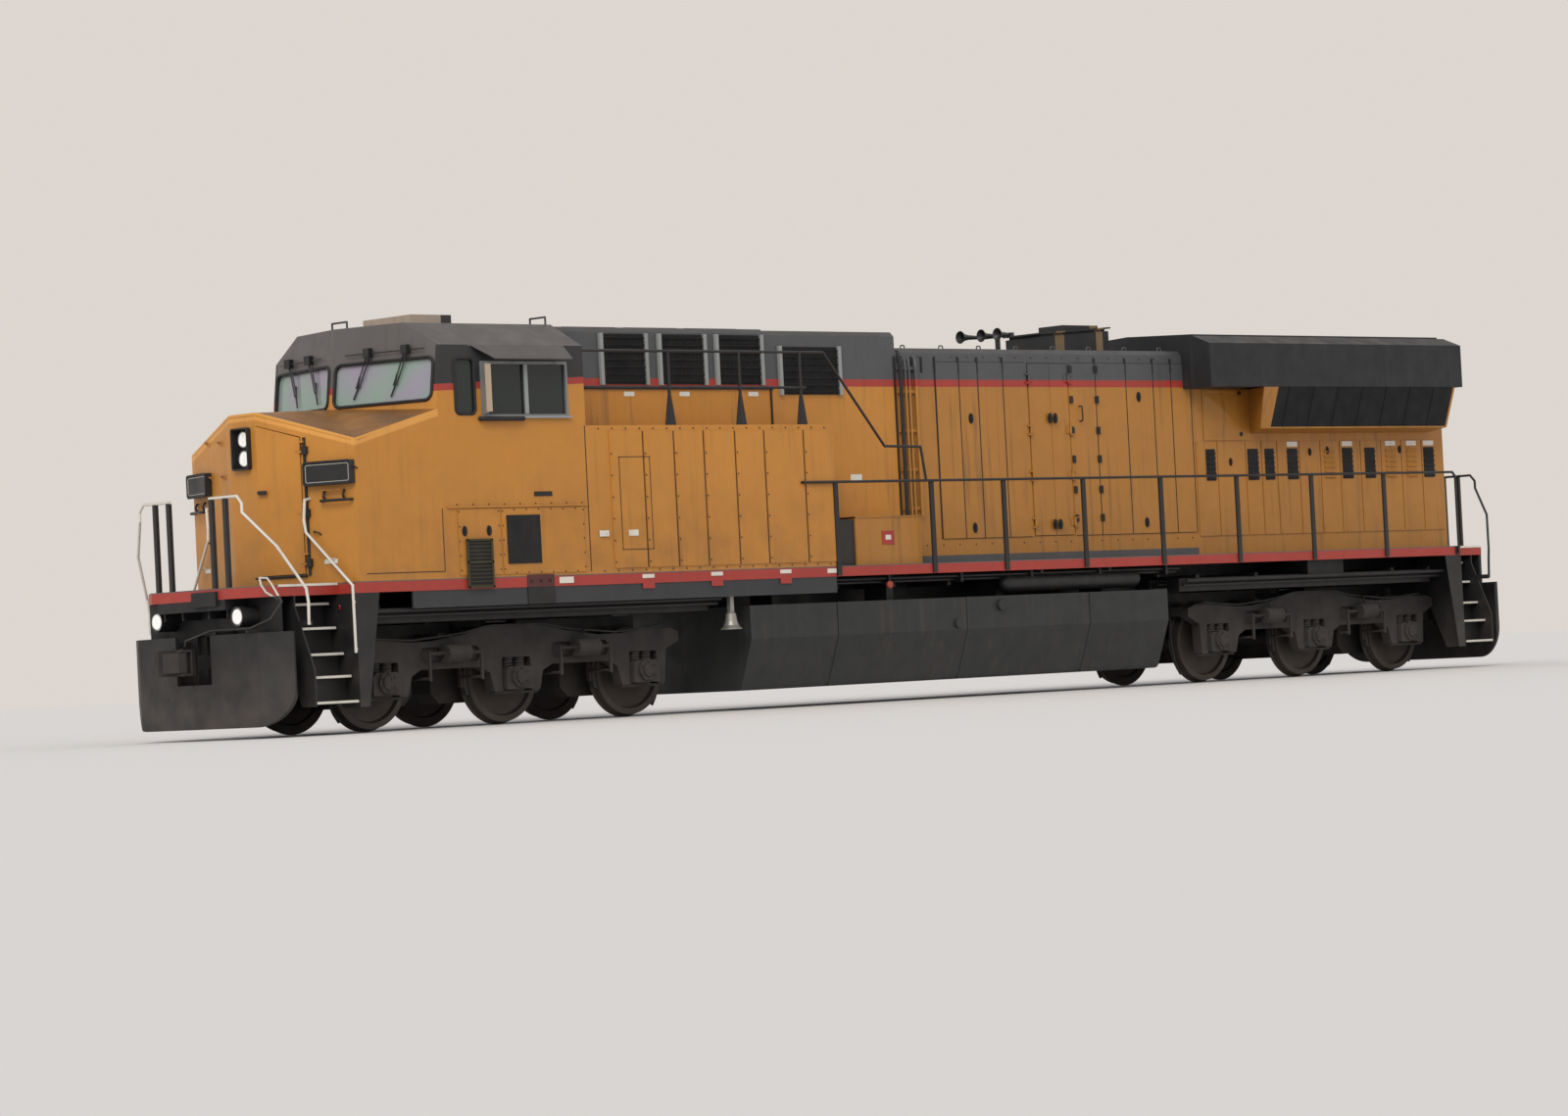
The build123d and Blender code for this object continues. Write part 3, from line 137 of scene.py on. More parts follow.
def frame_of(axis):
    """Two directions square to an axis."""
    axis = np.asarray(axis, float) / np.linalg.norm(axis)
    side = np.cross(axis, [0.0, 0.0, 1.0] if abs(axis[2]) < 0.9 else [1.0, 0.0, 0.0])
    side /= np.linalg.norm(side)
    return axis, side, np.cross(axis, side)


def turned(profile, centre, axis, sides):
    """Turned form: each profile pair (radius, height) swept round the axis through the centre."""
    axis, side, up = frame_of(axis)
    profile = np.asarray(profile, float)
    ring = circle(side, up, sides)
    points = np.asarray(centre) + profile[:, 1, None, None] * axis + profile[:, 0, None, None] * ring[None]
    return points.reshape(-1, 3), [grid_faces(len(profile), sides, False, True)]


def bolt_heads(centres, axis, radius, height, sides=6):
    """Bolt heads: a six-sided ring at the seat, the same ring at 0.7 of the height, a smaller one on top."""
    centres = np.asarray(centres, float).reshape(-1, 3)
    axis, side, up = frame_of(axis)
    ring = circle(side, up, sides)
    levels = np.array([[1.0, -0.2], [1.0, 0.7], [0.75, 1.0]])
    one = levels[:, 1, None, None] * height * axis + levels[:, 0, None, None] * radius * ring[None]
    points = (centres[:, None, None] + one[None]).reshape(-1, 3)
    step = 3 * sides * np.arange(len(centres))[:, None, None]
    walls = (grid_faces(3, sides, False, True)[None] + step).reshape(-1, 4)
    caps = (np.arange(2 * sides, 3 * sides)[None] + step[:, :, 0]).reshape(-1, sides)
    return points, [walls, caps]

# %% [markdown]
# ## Copies
# A copy is the same points with signs changed. A mirrored face is turned round, or it would face inwards.

# %% Copies
def across(part):
    """The part on the other side of the vehicle: y changes sign and each face turns round."""
    points, faces = part
    return points * [1, -1, 1], [f[:, ::-1] for f in faces]


def endways(part):
    """The part turned half round about the middle of the vehicle: x and y change sign."""
    points, faces = part
    return points * [-1, -1, 1], faces


def both(parts):
    """The parts and their copies across."""
    return list(parts) + [across(p) for p in parts]


def all_corners(parts):
    """The parts, their copies across, and both of these endways."""
    sides = both(parts)
    return sides + [endways(p) for p in sides]

# %% [markdown]
# ## From arrays to a piece
# Each piece is one mesh at the origin. Points that fall together are merged and faces turned outwards, so that
# a bump works the right way. It rides on a body; the name of its slot in the solid model is looked up but not
# set.

# %% Make a piece
made = []
slot_of = {}


def put(name, data):
    """An object of that data, linked into the scene at the origin."""
    thing = bpy.data.objects.new(name, data)
    bpy.context.scene.collection.objects.link(thing)
    return thing


def piece(name, parts, finish, body="carbody", slot=None, smooth=True):
    """One mesh from parts: later parts' face numbers are raised by the points already there."""
    points, polygons, start = [], [], 0
    for p, face_sets in parts:
        points.append(p)
        for f in face_sets:
            polygons += (f + start).tolist()
        start += len(p)
    mesh = bpy.data.meshes.new(name)
    mesh.from_pydata(np.concatenate(points).tolist(), [], polygons)
    work = bmesh.new()
    work.from_mesh(mesh)
    bmesh.ops.remove_doubles(work, verts=work.verts, dist=1e-6)
    bmesh.ops.dissolve_degenerate(work, edges=work.edges, dist=1e-7)
    bmesh.ops.recalc_face_normals(work, faces=work.faces)
    work.to_mesh(mesh)
    work.free()
    mesh.polygons.foreach_set("use_smooth", np.full(len(mesh.polygons), smooth))
    if smooth:
        mesh.set_sharp_from_angle(angle=math.radians(40))
    mesh.materials.append(finish)
    thing = put(name, mesh)
    slot = slot or slot_of[finish]
    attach(thing, body)
    made.append(name)
    print(name, len(mesh.polygons), "faces")


def flat_piece(name, parts, finish, body="carbody", slot=None):
    """A piece of flat faces with hard edges, such as boxes and bolt heads."""
    piece(name, parts, finish, body, slot, smooth=False)

# %% [markdown]
# ## Shader parts
# Paint on a working locomotive is never one colour. Each effect of weather is a node group that many finishes
# use; the shader itself stays in each material.

# %% Helpers for node trees
def node(tree, kind, **settings):
    """A new node with its settings."""
    made_node = tree.nodes.new(kind)
    for key, value in settings.items():
        setattr(made_node, key, value)
    return made_node


def feed(tree, target, value):
    """Wire a socket into the target, or set the target's own number."""
    if isinstance(value, bpy.types.NodeSocket):
        tree.links.new(value, target)
    else:
        target.default_value = value


def fed(tree, step, *values):
    """The first output of a step whose inputs take the values in order."""
    for target, value in zip(step.inputs, values):
        feed(tree, target, value)
    return step.outputs[0]


def calc(tree, operation, *values, clamp=True):
    """One step of arithmetic, held between 0 and 1."""
    return fed(tree, node(tree, "ShaderNodeMath", operation=operation, use_clamp=clamp), *values)


def free_calc(tree, operation, *values):
    """The same, with no limits."""
    return calc(tree, operation, *values, clamp=False)

# %% [markdown]
# ## Noise, steps and groups
# Cloudy noise and smooth steps make every mask, and a group holds one effect.

# %% Noise, steps and groups
def mixed(tree, amount, first, second, kind="MIX"):
    """The first colour, with the second over it by an amount."""
    step = node(tree, "ShaderNodeMix", data_type="RGBA", blend_type=kind)
    feed(tree, step.inputs[0], amount)
    feed(tree, step.inputs[6], first)
    feed(tree, step.inputs[7], second)
    return step.outputs[2]


def noise(tree, where, scale, stretch=(1, 1, 1), detail=4.0):
    """Cloudy values round 0.5; a stretch below 1 draws them out along that direction."""
    place = node(tree, "ShaderNodeMapping")
    feed(tree, place.inputs["Vector"], where)
    place.inputs["Scale"].default_value = stretch
    grain = node(tree, "ShaderNodeTexNoise")
    tree.links.new(place.outputs[0], grain.inputs["Vector"])
    feed(tree, grain.inputs["Scale"], scale)
    grain.inputs["Detail"].default_value = detail
    return grain.outputs["Fac"]


def spread(tree, value, low, high, at_low=0.0, at_high=1.0):
    """Smooth step: at_low below low, at_high above high."""
    step = node(tree, "ShaderNodeMapRange", interpolation_type="SMOOTHSTEP")
    return fed(tree, step, value, low, high, at_low, at_high)


def shader_group(name, inputs, outputs):
    """Empty group with inputs (name, kind, start value) and outputs (name, kind), and its own sockets."""
    tree = bpy.data.node_groups.new(name, "ShaderNodeTree")
    for label, kind, value in inputs:
        made_socket = tree.interface.new_socket(name=label, in_out="INPUT", socket_type=kind)
        if value is not None:
            made_socket.default_value = value
    for label, kind in outputs:
        tree.interface.new_socket(name=label, in_out="OUTPUT", socket_type=kind)
    return tree, node(tree, "NodeGroupInput").outputs, node(tree, "NodeGroupOutput").inputs


def xyz_of(tree, where):
    """The three numbers of a place or direction."""
    parts = node(tree, "ShaderNodeSeparateXYZ")
    tree.links.new(where, parts.inputs[0])
    return parts.outputs


FLOAT, COLOUR, VECTOR = "NodeSocketFloat", "NodeSocketColor", "NodeSocketVector"
WHERE = ("Where", VECTOR, None)
print("helpers ready")

# %% [markdown]
# ## Uneven paint
# Two noises change the brightness a little. A slow one goes out as a height, for the waves of sheet metal.

# %% Uneven paint
uneven, given, result = shader_group("Uneven paint", [WHERE, ("Colour", COLOUR, None), ("Amount", FLOAT, 0.25)],
    [("Colour", COLOUR), ("Height", FLOAT)])
broad = noise(uneven, given["Where"], 0.9, (1, 1, 1.4))
fine = noise(uneven, given["Where"], 7.0)
broad = free_calc(uneven, "SUBTRACT", broad, 0.5)
fine = free_calc(uneven, "MULTIPLY", free_calc(uneven, "SUBTRACT", fine, 0.5), 0.6)
both_noises = free_calc(uneven, "ADD", broad, fine)
level = free_calc(uneven, "ADD", 1.0, free_calc(uneven, "MULTIPLY", both_noises, given["Amount"]))
grey_level = node(uneven, "ShaderNodeCombineColor")
for channel in grey_level.inputs:
    feed(uneven, channel, level)
feed(uneven, result["Colour"], mixed(uneven, 1.0, given["Colour"], grey_level.outputs[0], "MULTIPLY"))
feed(uneven, result["Height"], noise(uneven, given["Where"], 3.2, (1, 1, 0.8), 2.0))

# %% [markdown]
# ## Dust, streaks, soot and chips
# Each puts out a mask: two fields multiplied. Dust fades with height, and in dark brown the same mask is
# painted shade low on the body; streaks are noise drawn out down the wall, soot lies where a surface faces up,
# and chips are hard-edged spots.

# %% Dust, streaks, soot and chips
def mask_group(name, amount, *inputs):
    """Group with a place and an amount, any other inputs, and one mask as its output."""
    return shader_group(name, [WHERE, *inputs, ("Amount", FLOAT, amount)], [("Mask", FLOAT)])


def give_mask(tree, given, result, first, second):
    """Mask: the first field times the second, times the amount."""
    product = calc(tree, "MULTIPLY", first, second)
    feed(tree, result["Mask"], calc(tree, "MULTIPLY", product, given["Amount"]))


# Dust fades with height; where a finish gives it a dark brown, the same mask is painted shade low on the body.
dust_and_low_shade, given, result = mask_group("Road dust and low shade", 0.5, ("Low", FLOAT, 0.3), ("High", FLOAT, 1.8))
fade = spread(dust_and_low_shade, xyz_of(dust_and_low_shade, given["Where"])[2], given["Low"], given["High"], 1.0, 0.0)
patches = spread(dust_and_low_shade, noise(dust_and_low_shade, given["Where"], 2.6, detail=6.0), 0.3, 0.72, 0.25, 1.0)
give_mask(dust_and_low_shade, given, result, fade, patches)

streaks, given, result = mask_group("Rain streaks", 0.4)
runs = spread(streaks, noise(streaks, given["Where"], 5.0, (2.2, 2.2, 0.13), 5.0), 0.5, 0.74)
where_wet = spread(streaks, noise(streaks, given["Where"], 0.7), 0.35, 0.65, 0.15, 1.0)
give_mask(streaks, given, result, runs, where_wet)

soot, given, result = mask_group("Soot on tops", 0.6, ("Facing", VECTOR, None))
facing_up = spread(soot, xyz_of(soot, given["Facing"])[2], 0.25, 0.75)
thick = spread(soot, noise(soot, given["Where"], 1.6, detail=5.0), 0.2, 0.7, 0.55, 1.0)
give_mask(soot, given, result, facing_up, thick)

chips, given, result = mask_group("Chips and rust spots", 0.3, ("Scale", FLOAT, 24.0))
spots = spread(chips, noise(chips, given["Where"], given["Scale"], detail=6.0), 0.64, 0.72)
few = spread(chips, noise(chips, given["Where"], 1.1), 0.42, 0.7)
give_mask(chips, given, result, spots, few)
print("effects:", [g.name for g in bpy.data.node_groups])

# %% [markdown]
# ## Bands of paint
# Bands are read from height, so they line up across every panel. Where one dips or follows the nose, its edge
# is a chain of straight ramps.

# %% Bands and zones
def group_node(tree, group, **values):
    """A group placed in a material, each input wired or set by its name."""
    step = node(tree, "ShaderNodeGroup", node_tree=group)
    for key, value in values.items():
        feed(tree, step.inputs[key], value)
    return step


def edge_height(tree, along, points):
    """Height of a band edge: the first point's height, plus one straight ramp for each later point."""
    height = points[0][1]
    for (x0, z0), (x1, z1) in zip(points, points[1:]):
        ramp = fed(tree, node(tree, "ShaderNodeMapRange"), along, x0, x1, 0.0, z1 - z0)
        height = free_calc(tree, "ADD", height, ramp)
    return height


def banded(tree, where, base, bands, zones):
    """Paint by place: each band covers all above its edge, each zone covers a span of one direction."""
    spans = xyz_of(tree, where)
    for edge, colour in bands:
        if isinstance(edge, list):
            edge = edge_height(tree, spans[0], edge)
        base = mixed(tree, calc(tree, "GREATER_THAN", spans[2], edge), base, (*colour, 1))
    for axis, low, high, colour in zones:
        past_low = calc(tree, "GREATER_THAN", spans[axis], low)
        inside = calc(tree, "MULTIPLY", past_low, calc(tree, "LESS_THAN", spans[axis], high))
        base = mixed(tree, inside, base, (*colour, 1))
    return base


def highlight_band(tree, where, facing, base, colour, depth):
    """Painted highlight: a brighter band, free of soot, under the nose's top edge, which falls outward in front
    and rises to the rear.
    """
    place, normal = xyz_of(tree, where), xyz_of(tree, facing)
    outward = free_calc(tree, "ABSOLUTE", place[1])
    front_edge = edge_height(tree, outward, [(0.25, 3.75 - depth), (1.55, 3.37 - depth)])
    side_edge = edge_height(tree, place[0], [(8.665, 3.7 - depth), (9.89, 3.37 - depth)])
    sideways = calc(tree, "GREATER_THAN", free_calc(tree, "ABSOLUTE", normal[1]), 0.9)
    step = free_calc(tree, "MULTIPLY", sideways, free_calc(tree, "SUBTRACT", side_edge, front_edge))
    above = free_calc(tree, "SUBTRACT", place[2], free_calc(tree, "ADD", front_edge, step))
    upright = spread(tree, normal[2], 0.2, 0.3, 1.0, 0.0)
    mask = calc(tree, "MULTIPLY", spread(tree, above, -0.012, 0.012), upright)
    return mixed(tree, mask, base, (*colour, 1))

# %% [markdown]
# ## The weathered finish
# One function builds every weathered finish from a colour and how much of each effect it shows.

# %% The weathered finish
DUST = (0.17, 0.135, 0.105, 1)
SOOT = (0.03, 0.027, 0.026, 1)
RUST = (0.11, 0.045, 0.02, 1)
STREAK = (0.06, 0.042, 0.028, 1)


def weathered(name, colour, rough=0.5, metal=0.0, dusty=0.4, low=0.2, high=1.7, streaky=0.3, sooty=0.5,
        rusty=0.25, bump=0.15, bands=(), zones=(), soot_colour=SOOT, dust_and_shade_colour=DUST, spot_colour=RUST,
        spot_scale=24.0, edge=None):
    """Colour, uneven with age, then streaks, rust spots, soot on tops and dust low down, one over another; a
    dark brown in place of dust is painted shade low on the body.
    """
    finish = bpy.data.materials.new(name)
    finish.use_nodes = True
    tree = finish.node_tree
    shader = tree.nodes["Principled BSDF"]
    where = node(tree, "ShaderNodeTexCoord").outputs["Object"]
    facing = node(tree, "ShaderNodeNewGeometry").outputs["Normal"]
    base = finish.diffuse_color = (*colour, 1)
    if bands or zones:
        base = banded(tree, where, base, bands, zones)
    # A brighter band under the nose's top edge: painted highlight.
    if edge:
        base = highlight_band(tree, where, facing, base, *edge)
    aged = group_node(tree, uneven, Where=where, Colour=base)
    shade = aged.outputs["Colour"]
    layers = ((streaks, streaky, STREAK, {}), (chips, rusty, spot_colour, {"Scale": spot_scale}),
        (soot, sooty, soot_colour, {"Facing": facing}), (dust_and_low_shade, dusty, dust_and_shade_colour, {"Low": low, "High": high}))
    for group, amount, over, extra in layers:
        if amount:
            mask = group_node(tree, group, Where=where, Amount=amount, **extra).outputs["Mask"]
            shade = mixed(tree, mask, shade, over)
    feed(tree, shader.inputs["Base Color"], shade)
    worn = spread(tree, noise(tree, where, 4.0), 0.2, 0.8, rough - 0.08, rough + 0.14)
    feed(tree, shader.inputs["Roughness"], worn)
    shader.inputs["Metallic"].default_value = metal
    if bump:
        dents = node(tree, "ShaderNodeBump")
        dents.inputs["Strength"].default_value = bump
        dents.inputs["Distance"].default_value = 0.02
        feed(tree, dents.inputs["Height"], aged.outputs["Height"])
        feed(tree, shader.inputs["Normal"], dents.outputs[0])
    return finish

# %% [markdown]
# ## Colours
# In linear light, set by comparing renders with the photograph. On yellow parts a dark brown low down is
# painted shade with dirt, browner than dust on black.

# %% Colours
YELLOW = (0.49, 0.2, 0.024)
# A darker yellow for the hood, radiator cab, walkway boxes and wings: painted shade on these set-back parts,
# with some dirt.
HOOD_YELLOW_SHADE_AND_DIRT = (0.39, 0.163, 0.022)
RED = (0.345, 0.033, 0.021)
GREY = (0.068, 0.07, 0.074)
ROOF_GREY = (0.098, 0.088, 0.084)
# Near-black grey of the cab sides above the windows: painted shade.
SIDE_GREY_SHADE = (0.02, 0.02, 0.021)
SKIRT = (0.026, 0.028, 0.033)
BLACK = (0.01, 0.01, 0.011)
# Near-black of openings behind louvres and screens: painted shade.
HOLE_SHADE = (0.005, 0.005, 0.006)
# Near-black for the upper radiator wings: painted shade, with soot.
WING_SHADE_AND_SOOT = (0.009, 0.0105, 0.0135)
BROWN_SOOT = (0.105, 0.05, 0.018, 1)
# Dark brown laid low on yellow parts by the dust mask: painted shade low on the body, with dirt.
LOW_SHADE_AND_DIRT = (0.15, 0.07, 0.022, 1)
PALE_DUST = (0.085, 0.066, 0.054, 1)
print("body yellow", YELLOW, "stripe red", RED)

# %% [markdown]
# ## Yellow and red paints
# The cab's stripe dips, so its edge is a list of points. Louvres are painted near-black, the shade of their
# openings; the photograph shows seven dark louvres, so the three others are painted yellow.

# %% Yellow and red paints
cab_foot = [(6.38, 4.0), (8.65, 3.91), (9.0, 3.98)]
cab_top = [(x, z + 0.08) for x, z in cab_foot]
# Above the stripe the cab sides take a near-black grey, which is painted shade.
cab_paint = weathered("cab paint", YELLOW, 0.42, dusty=0.42, low=1.6, high=3.3, streaky=0.2, sooty=0.6,
    rusty=0.15, dust_and_shade_colour=LOW_SHADE_AND_DIRT, bands=[(cab_foot, RED), (cab_top, SIDE_GREY_SHADE)])
front_paint = weathered("cab front paint", YELLOW, 0.42, dusty=0.0, streaky=0.2, sooty=0.6, rusty=0.15,
    bands=[(cab_foot, RED), (cab_top, ROOF_GREY)])
# The nose's edge band is a brighter yellow, which is a painted highlight.
nose_paint = weathered("nose paint", YELLOW, 0.42, low=1.5, high=2.9, streaky=0.16, sooty=0.9, rusty=0.15,
    soot_colour=BROWN_SOOT, dust_and_shade_colour=LOW_SHADE_AND_DIRT, edge=((0.66, 0.3, 0.058), 0.085))
# Brighter yellow of the rolled nose edge: painted highlight.
edge_highlight_paint = weathered("nose edge highlight paint", (0.6, 0.265, 0.04), 0.42, dusty=0.0, streaky=0.06, sooty=0.1,
    rusty=0.1)
hood_paint = weathered("hood paint", GREY, 0.45, dusty=0.3, high=3.0, streaky=0.5, sooty=0.6, rusty=0.3,
    dust_and_shade_colour=LOW_SHADE_AND_DIRT, bands=[(1.835, HOOD_YELLOW_SHADE_AND_DIRT), (4.012, RED), (4.105, GREY)])
grid_paint = weathered("grid cab paint", YELLOW, 0.45, dusty=0.1, high=3.0, streaky=0.4, sooty=0.6, rusty=0.3,
    bands=[(4.012, RED), (4.105, GREY)])
# Above 3.985 m the wings take a near-black, which is painted shade with soot.
wing_paint = weathered("radiator paint", HOOD_YELLOW_SHADE_AND_DIRT, 0.55, dusty=0.04, bands=[(3.985, WING_SHADE_AND_SOOT)])
yellow_paint = weathered("yellow paint", YELLOW, 0.42, low=1.6, high=3.3, streaky=0.28, dust_and_shade_colour=LOW_SHADE_AND_DIRT)
shaded_yellow = weathered("radiator yellow", HOOD_YELLOW_SHADE_AND_DIRT, 0.45, dusty=0.25, high=3.0, streaky=0.45,
    dust_and_shade_colour=LOW_SHADE_AND_DIRT)
box_paint = weathered("walkway box paint", HOOD_YELLOW_SHADE_AND_DIRT, 0.45, dusty=0.3, high=3.0, streaky=0.45, dust_and_shade_colour=LOW_SHADE_AND_DIRT,
    zones=[(0, 1.865, 2.16, BLACK)])
louvre_shade_paint = weathered("louvre paint with painted shade", HOLE_SHADE, 0.7, dusty=0.0, streaky=0.2, sooty=0.0,
    zones=[(0, a, b, HOOD_YELLOW_SHADE_AND_DIRT) for a, b in ((-7.95, -7.71), (-9.29, -9.05), (-9.75, -9.51))])
sill_paint = weathered("sill paint", SKIRT, 0.45, dusty=0.1, low=0.9, high=2.0, streaky=0.25, sooty=0.3,
    rusty=0.2, bands=[(1.597, RED)])
red_paint = weathered("red paint", RED, 0.45, dusty=0.1, low=0.9, high=2.0, streaky=0.2, sooty=0.3)
box_red = weathered("shaded red paint", (0.075, 0.016, 0.014), 0.5, dusty=0.1, streaky=0.4)
print("finishes so far:", len(bpy.data.materials))

# %% [markdown]
# ## Grey, white and black paints
# A zone paints a part of one solid another colour, such as the beige cover of the roof box.

# %% Grey, white and black paints
grey_paint = weathered("roof and deck paint", ROOF_GREY, 0.5, dusty=0.0, streaky=0.35, sooty=0.35)
pale_frame = weathered("pale frame paint", (0.26, 0.27, 0.26), 0.5, dusty=0.1, streaky=0.35, sooty=0.4)
cooler_paint = weathered("roof fittings paint", (0.035, 0.034, 0.033), 0.6, dusty=0.1, streaky=0.2, sooty=0.35,
    zones=[(0, 7.62, 8.12, (0.36, 0.285, 0.22))], soot_colour=(0.22, 0.17, 0.13, 1))
white_paint = weathered("white rail paint", (0.66, 0.62, 0.54), 0.45, dusty=0.2, streaky=0.2, rusty=0.5)
black_paint = weathered("black paint", BLACK, 0.5, dusty=0.16, low=0.1, high=1.7, streaky=0.2, sooty=0.2)
pilot_paint = weathered("dusty pilot paint", BLACK, 0.6, dusty=0.6, low=0.2, high=1.35, sooty=0.3,
    dust_and_shade_colour=PALE_DUST)
lever_paint = weathered("lever paint", BLACK, 0.5, dusty=0.2, streaky=0.2, bands=[(1.6, (0.6, 0.56, 0.48))])
rail_black = weathered("black rail paint", BLACK, 0.42, dusty=0.06, high=2.6, streaky=0.1)
tank_paint = weathered("tank paint", (0.016, 0.02, 0.0195), 0.5, dusty=0.14, low=0.1, high=1.6, streaky=0.45,
    sooty=0.0, dust_and_shade_colour=PALE_DUST)
horn_paint = weathered("horn paint", (0.02, 0.021, 0.023), 0.45, dusty=0.05, streaky=0.2, sooty=0.3)
print("finishes so far:", len(bpy.data.materials))

# %% [markdown]
# ## Metals, trim and openings
# Cast parts are dusty with small rust spots, and zones scorch the silencer. An opening is painted nearly black,
# as painted shade.

# %% Metals, trim and openings
cast_steel = weathered("dusty cast steel", (0.018, 0.016, 0.015), 0.75, dusty=0.5, low=0.1, high=1.5,
    streaky=0.2, rusty=0.5, bump=0.5, dust_and_shade_colour=PALE_DUST)
wheel_steel = weathered("wheel steel", (0.05, 0.04, 0.033), 0.6, 0.35, dusty=0.5, low=0.0, high=1.3, rusty=0.7,
    bump=0.3, dust_and_shade_colour=PALE_DUST)
sooty_paint = weathered("sooty roof steel", (0.018, 0.018, 0.019), 0.65, dusty=0.05, streaky=0.2, rusty=1.0,
    spot_colour=(0.2, 0.13, 0.06, 1), spot_scale=4.5, zones=[(0, -3.3, -3.12, (0.17, 0.11, 0.05)),
    (0, -4.06, -3.93, (0.2, 0.13, 0.06))])
bare_metal = weathered("bare aluminium", (0.46, 0.47, 0.47), 0.4, 0.6, dusty=0.15, high=4.6, streaky=0.4,
    sooty=0.3, bump=0)
frame_metal = weathered("dull aluminium", (0.22, 0.225, 0.225), 0.5, 0.3, dusty=0.15, high=4.6, streaky=0.5,
    sooty=0.3, bump=0)
bell_metal = weathered("bell metal", (0.34, 0.33, 0.3), 0.45, 0.6, high=1.6)
inside_grey = weathered("cab interior", (0.2, 0.22, 0.2), 0.6, dusty=0.1, streaky=0.0, sooty=0.1, rusty=0)
seat_cloth = weathered("seat cloth", (0.035, 0.036, 0.045), 0.9, dusty=0.1, streaky=0, sooty=0, rusty=0)
rubber = weathered("black rubber", BLACK, 0.65, dusty=0.06, high=4.6, streaky=0.1, rusty=0)
opening_shade = weathered("painted shade of an opening", HOLE_SHADE, 0.85, dusty=0.04, streaky=0.0, sooty=0.0, rusty=0, bump=0)
olive_mesh = weathered("olive vent mesh", (0.045, 0.04, 0.016), 0.8, dusty=0.2, streaky=0.2, sooty=0, rusty=0,
    bump=0)
beige = weathered("beige trim", (0.42, 0.32, 0.22), 0.6, dusty=0.2, high=4.6, streaky=0.3, rusty=0, bump=0)
print("finishes so far:", len(bpy.data.materials))

# %% [markdown]
# ## Glass and lamps
# Window glass is tinted but clear, so that the cab shows. Panes that face ahead have a pale painted reflection
# of the sky with a purple and green sheen.

# %% Glass finishes
def clear_glass(name, colour, rough, through=0.9, emit=0.0):
    """Glass of one colour and roughness, letting that share through; a lamp's gives a little light."""
    finish = bpy.data.materials.new(name)
    finish.use_nodes = True
    finish.diffuse_color = (*colour, 0.4)
    shader = finish.node_tree.nodes["Principled BSDF"]
    shader.inputs["Base Color"].default_value = (*colour, 1)
    shader.inputs["Roughness"].default_value = rough
    shader.inputs["IOR"].default_value = 1.45
    shader.inputs["Transmission Weight"].default_value = through
    if emit:
        shader.inputs["Emission Color"].default_value = (1.0, 0.96, 0.88, 1)
        shader.inputs["Emission Strength"].default_value = emit
    return finish


window_glass = clear_glass("window glass", (0.42, 0.48, 0.46), 0.06, 0.5)
tree = window_glass.node_tree
where = node(tree, "ShaderNodeTexCoord").outputs["Object"]
cloudy = spread(tree, noise(tree, where, 1.7, detail=1.0), 0.35, 0.65)
# Panes that face ahead take a pale colour: painted reflection of the sky, with a purple and green sheen.
sky_reflection_sheen = mixed(tree, cloudy, (0.58, 0.52, 0.64, 1), (0.46, 0.62, 0.52, 1))
ahead = xyz_of(tree, node(tree, "ShaderNodeNewGeometry").outputs["Normal"])[0]
to_front = spread(tree, ahead, 0.3, 0.7)
tint_and_reflection = mixed(tree, to_front, (0.035, 0.045, 0.043, 1), sky_reflection_sheen)
feed(tree, tree.nodes["Principled BSDF"].inputs["Base Color"], tint_and_reflection)
lamp_glass = clear_glass("lamp glass", (0.95, 0.95, 0.92), 0.12, 0.4, 0.35)
red_glass = clear_glass("red marker glass", (0.6, 0.03, 0.02), 0.2)
print("finishes in all:", len(bpy.data.materials))

# %% [markdown]
# ## Slots of the added pieces
# A table gives each finish of the added pieces the name of one of the solid model's material slots.

# %% Slots
slots = {
    "black_paint": (black_paint, rail_black, rubber, opening_shade, olive_mesh),
    "yellow_paint": (hood_paint, edge_highlight_paint, shaded_yellow),
    "white_paint": (white_paint,),
    "red_paint": (red_paint, box_red),
    "bare_aluminium": (bare_metal, beige, pale_frame),
    "cast_steel": (cast_steel,),
    "lamp_glass": (red_glass,),
}
for slot, finishes in slots.items():
    slot_of.update(dict.fromkeys(finishes, slot))
print("finishes with a slot:", len(slot_of))

# %% [markdown]
# ## Finishes on the solid parts
# Each solid part keeps its mesh and takes a finish. The list is the paint plan.

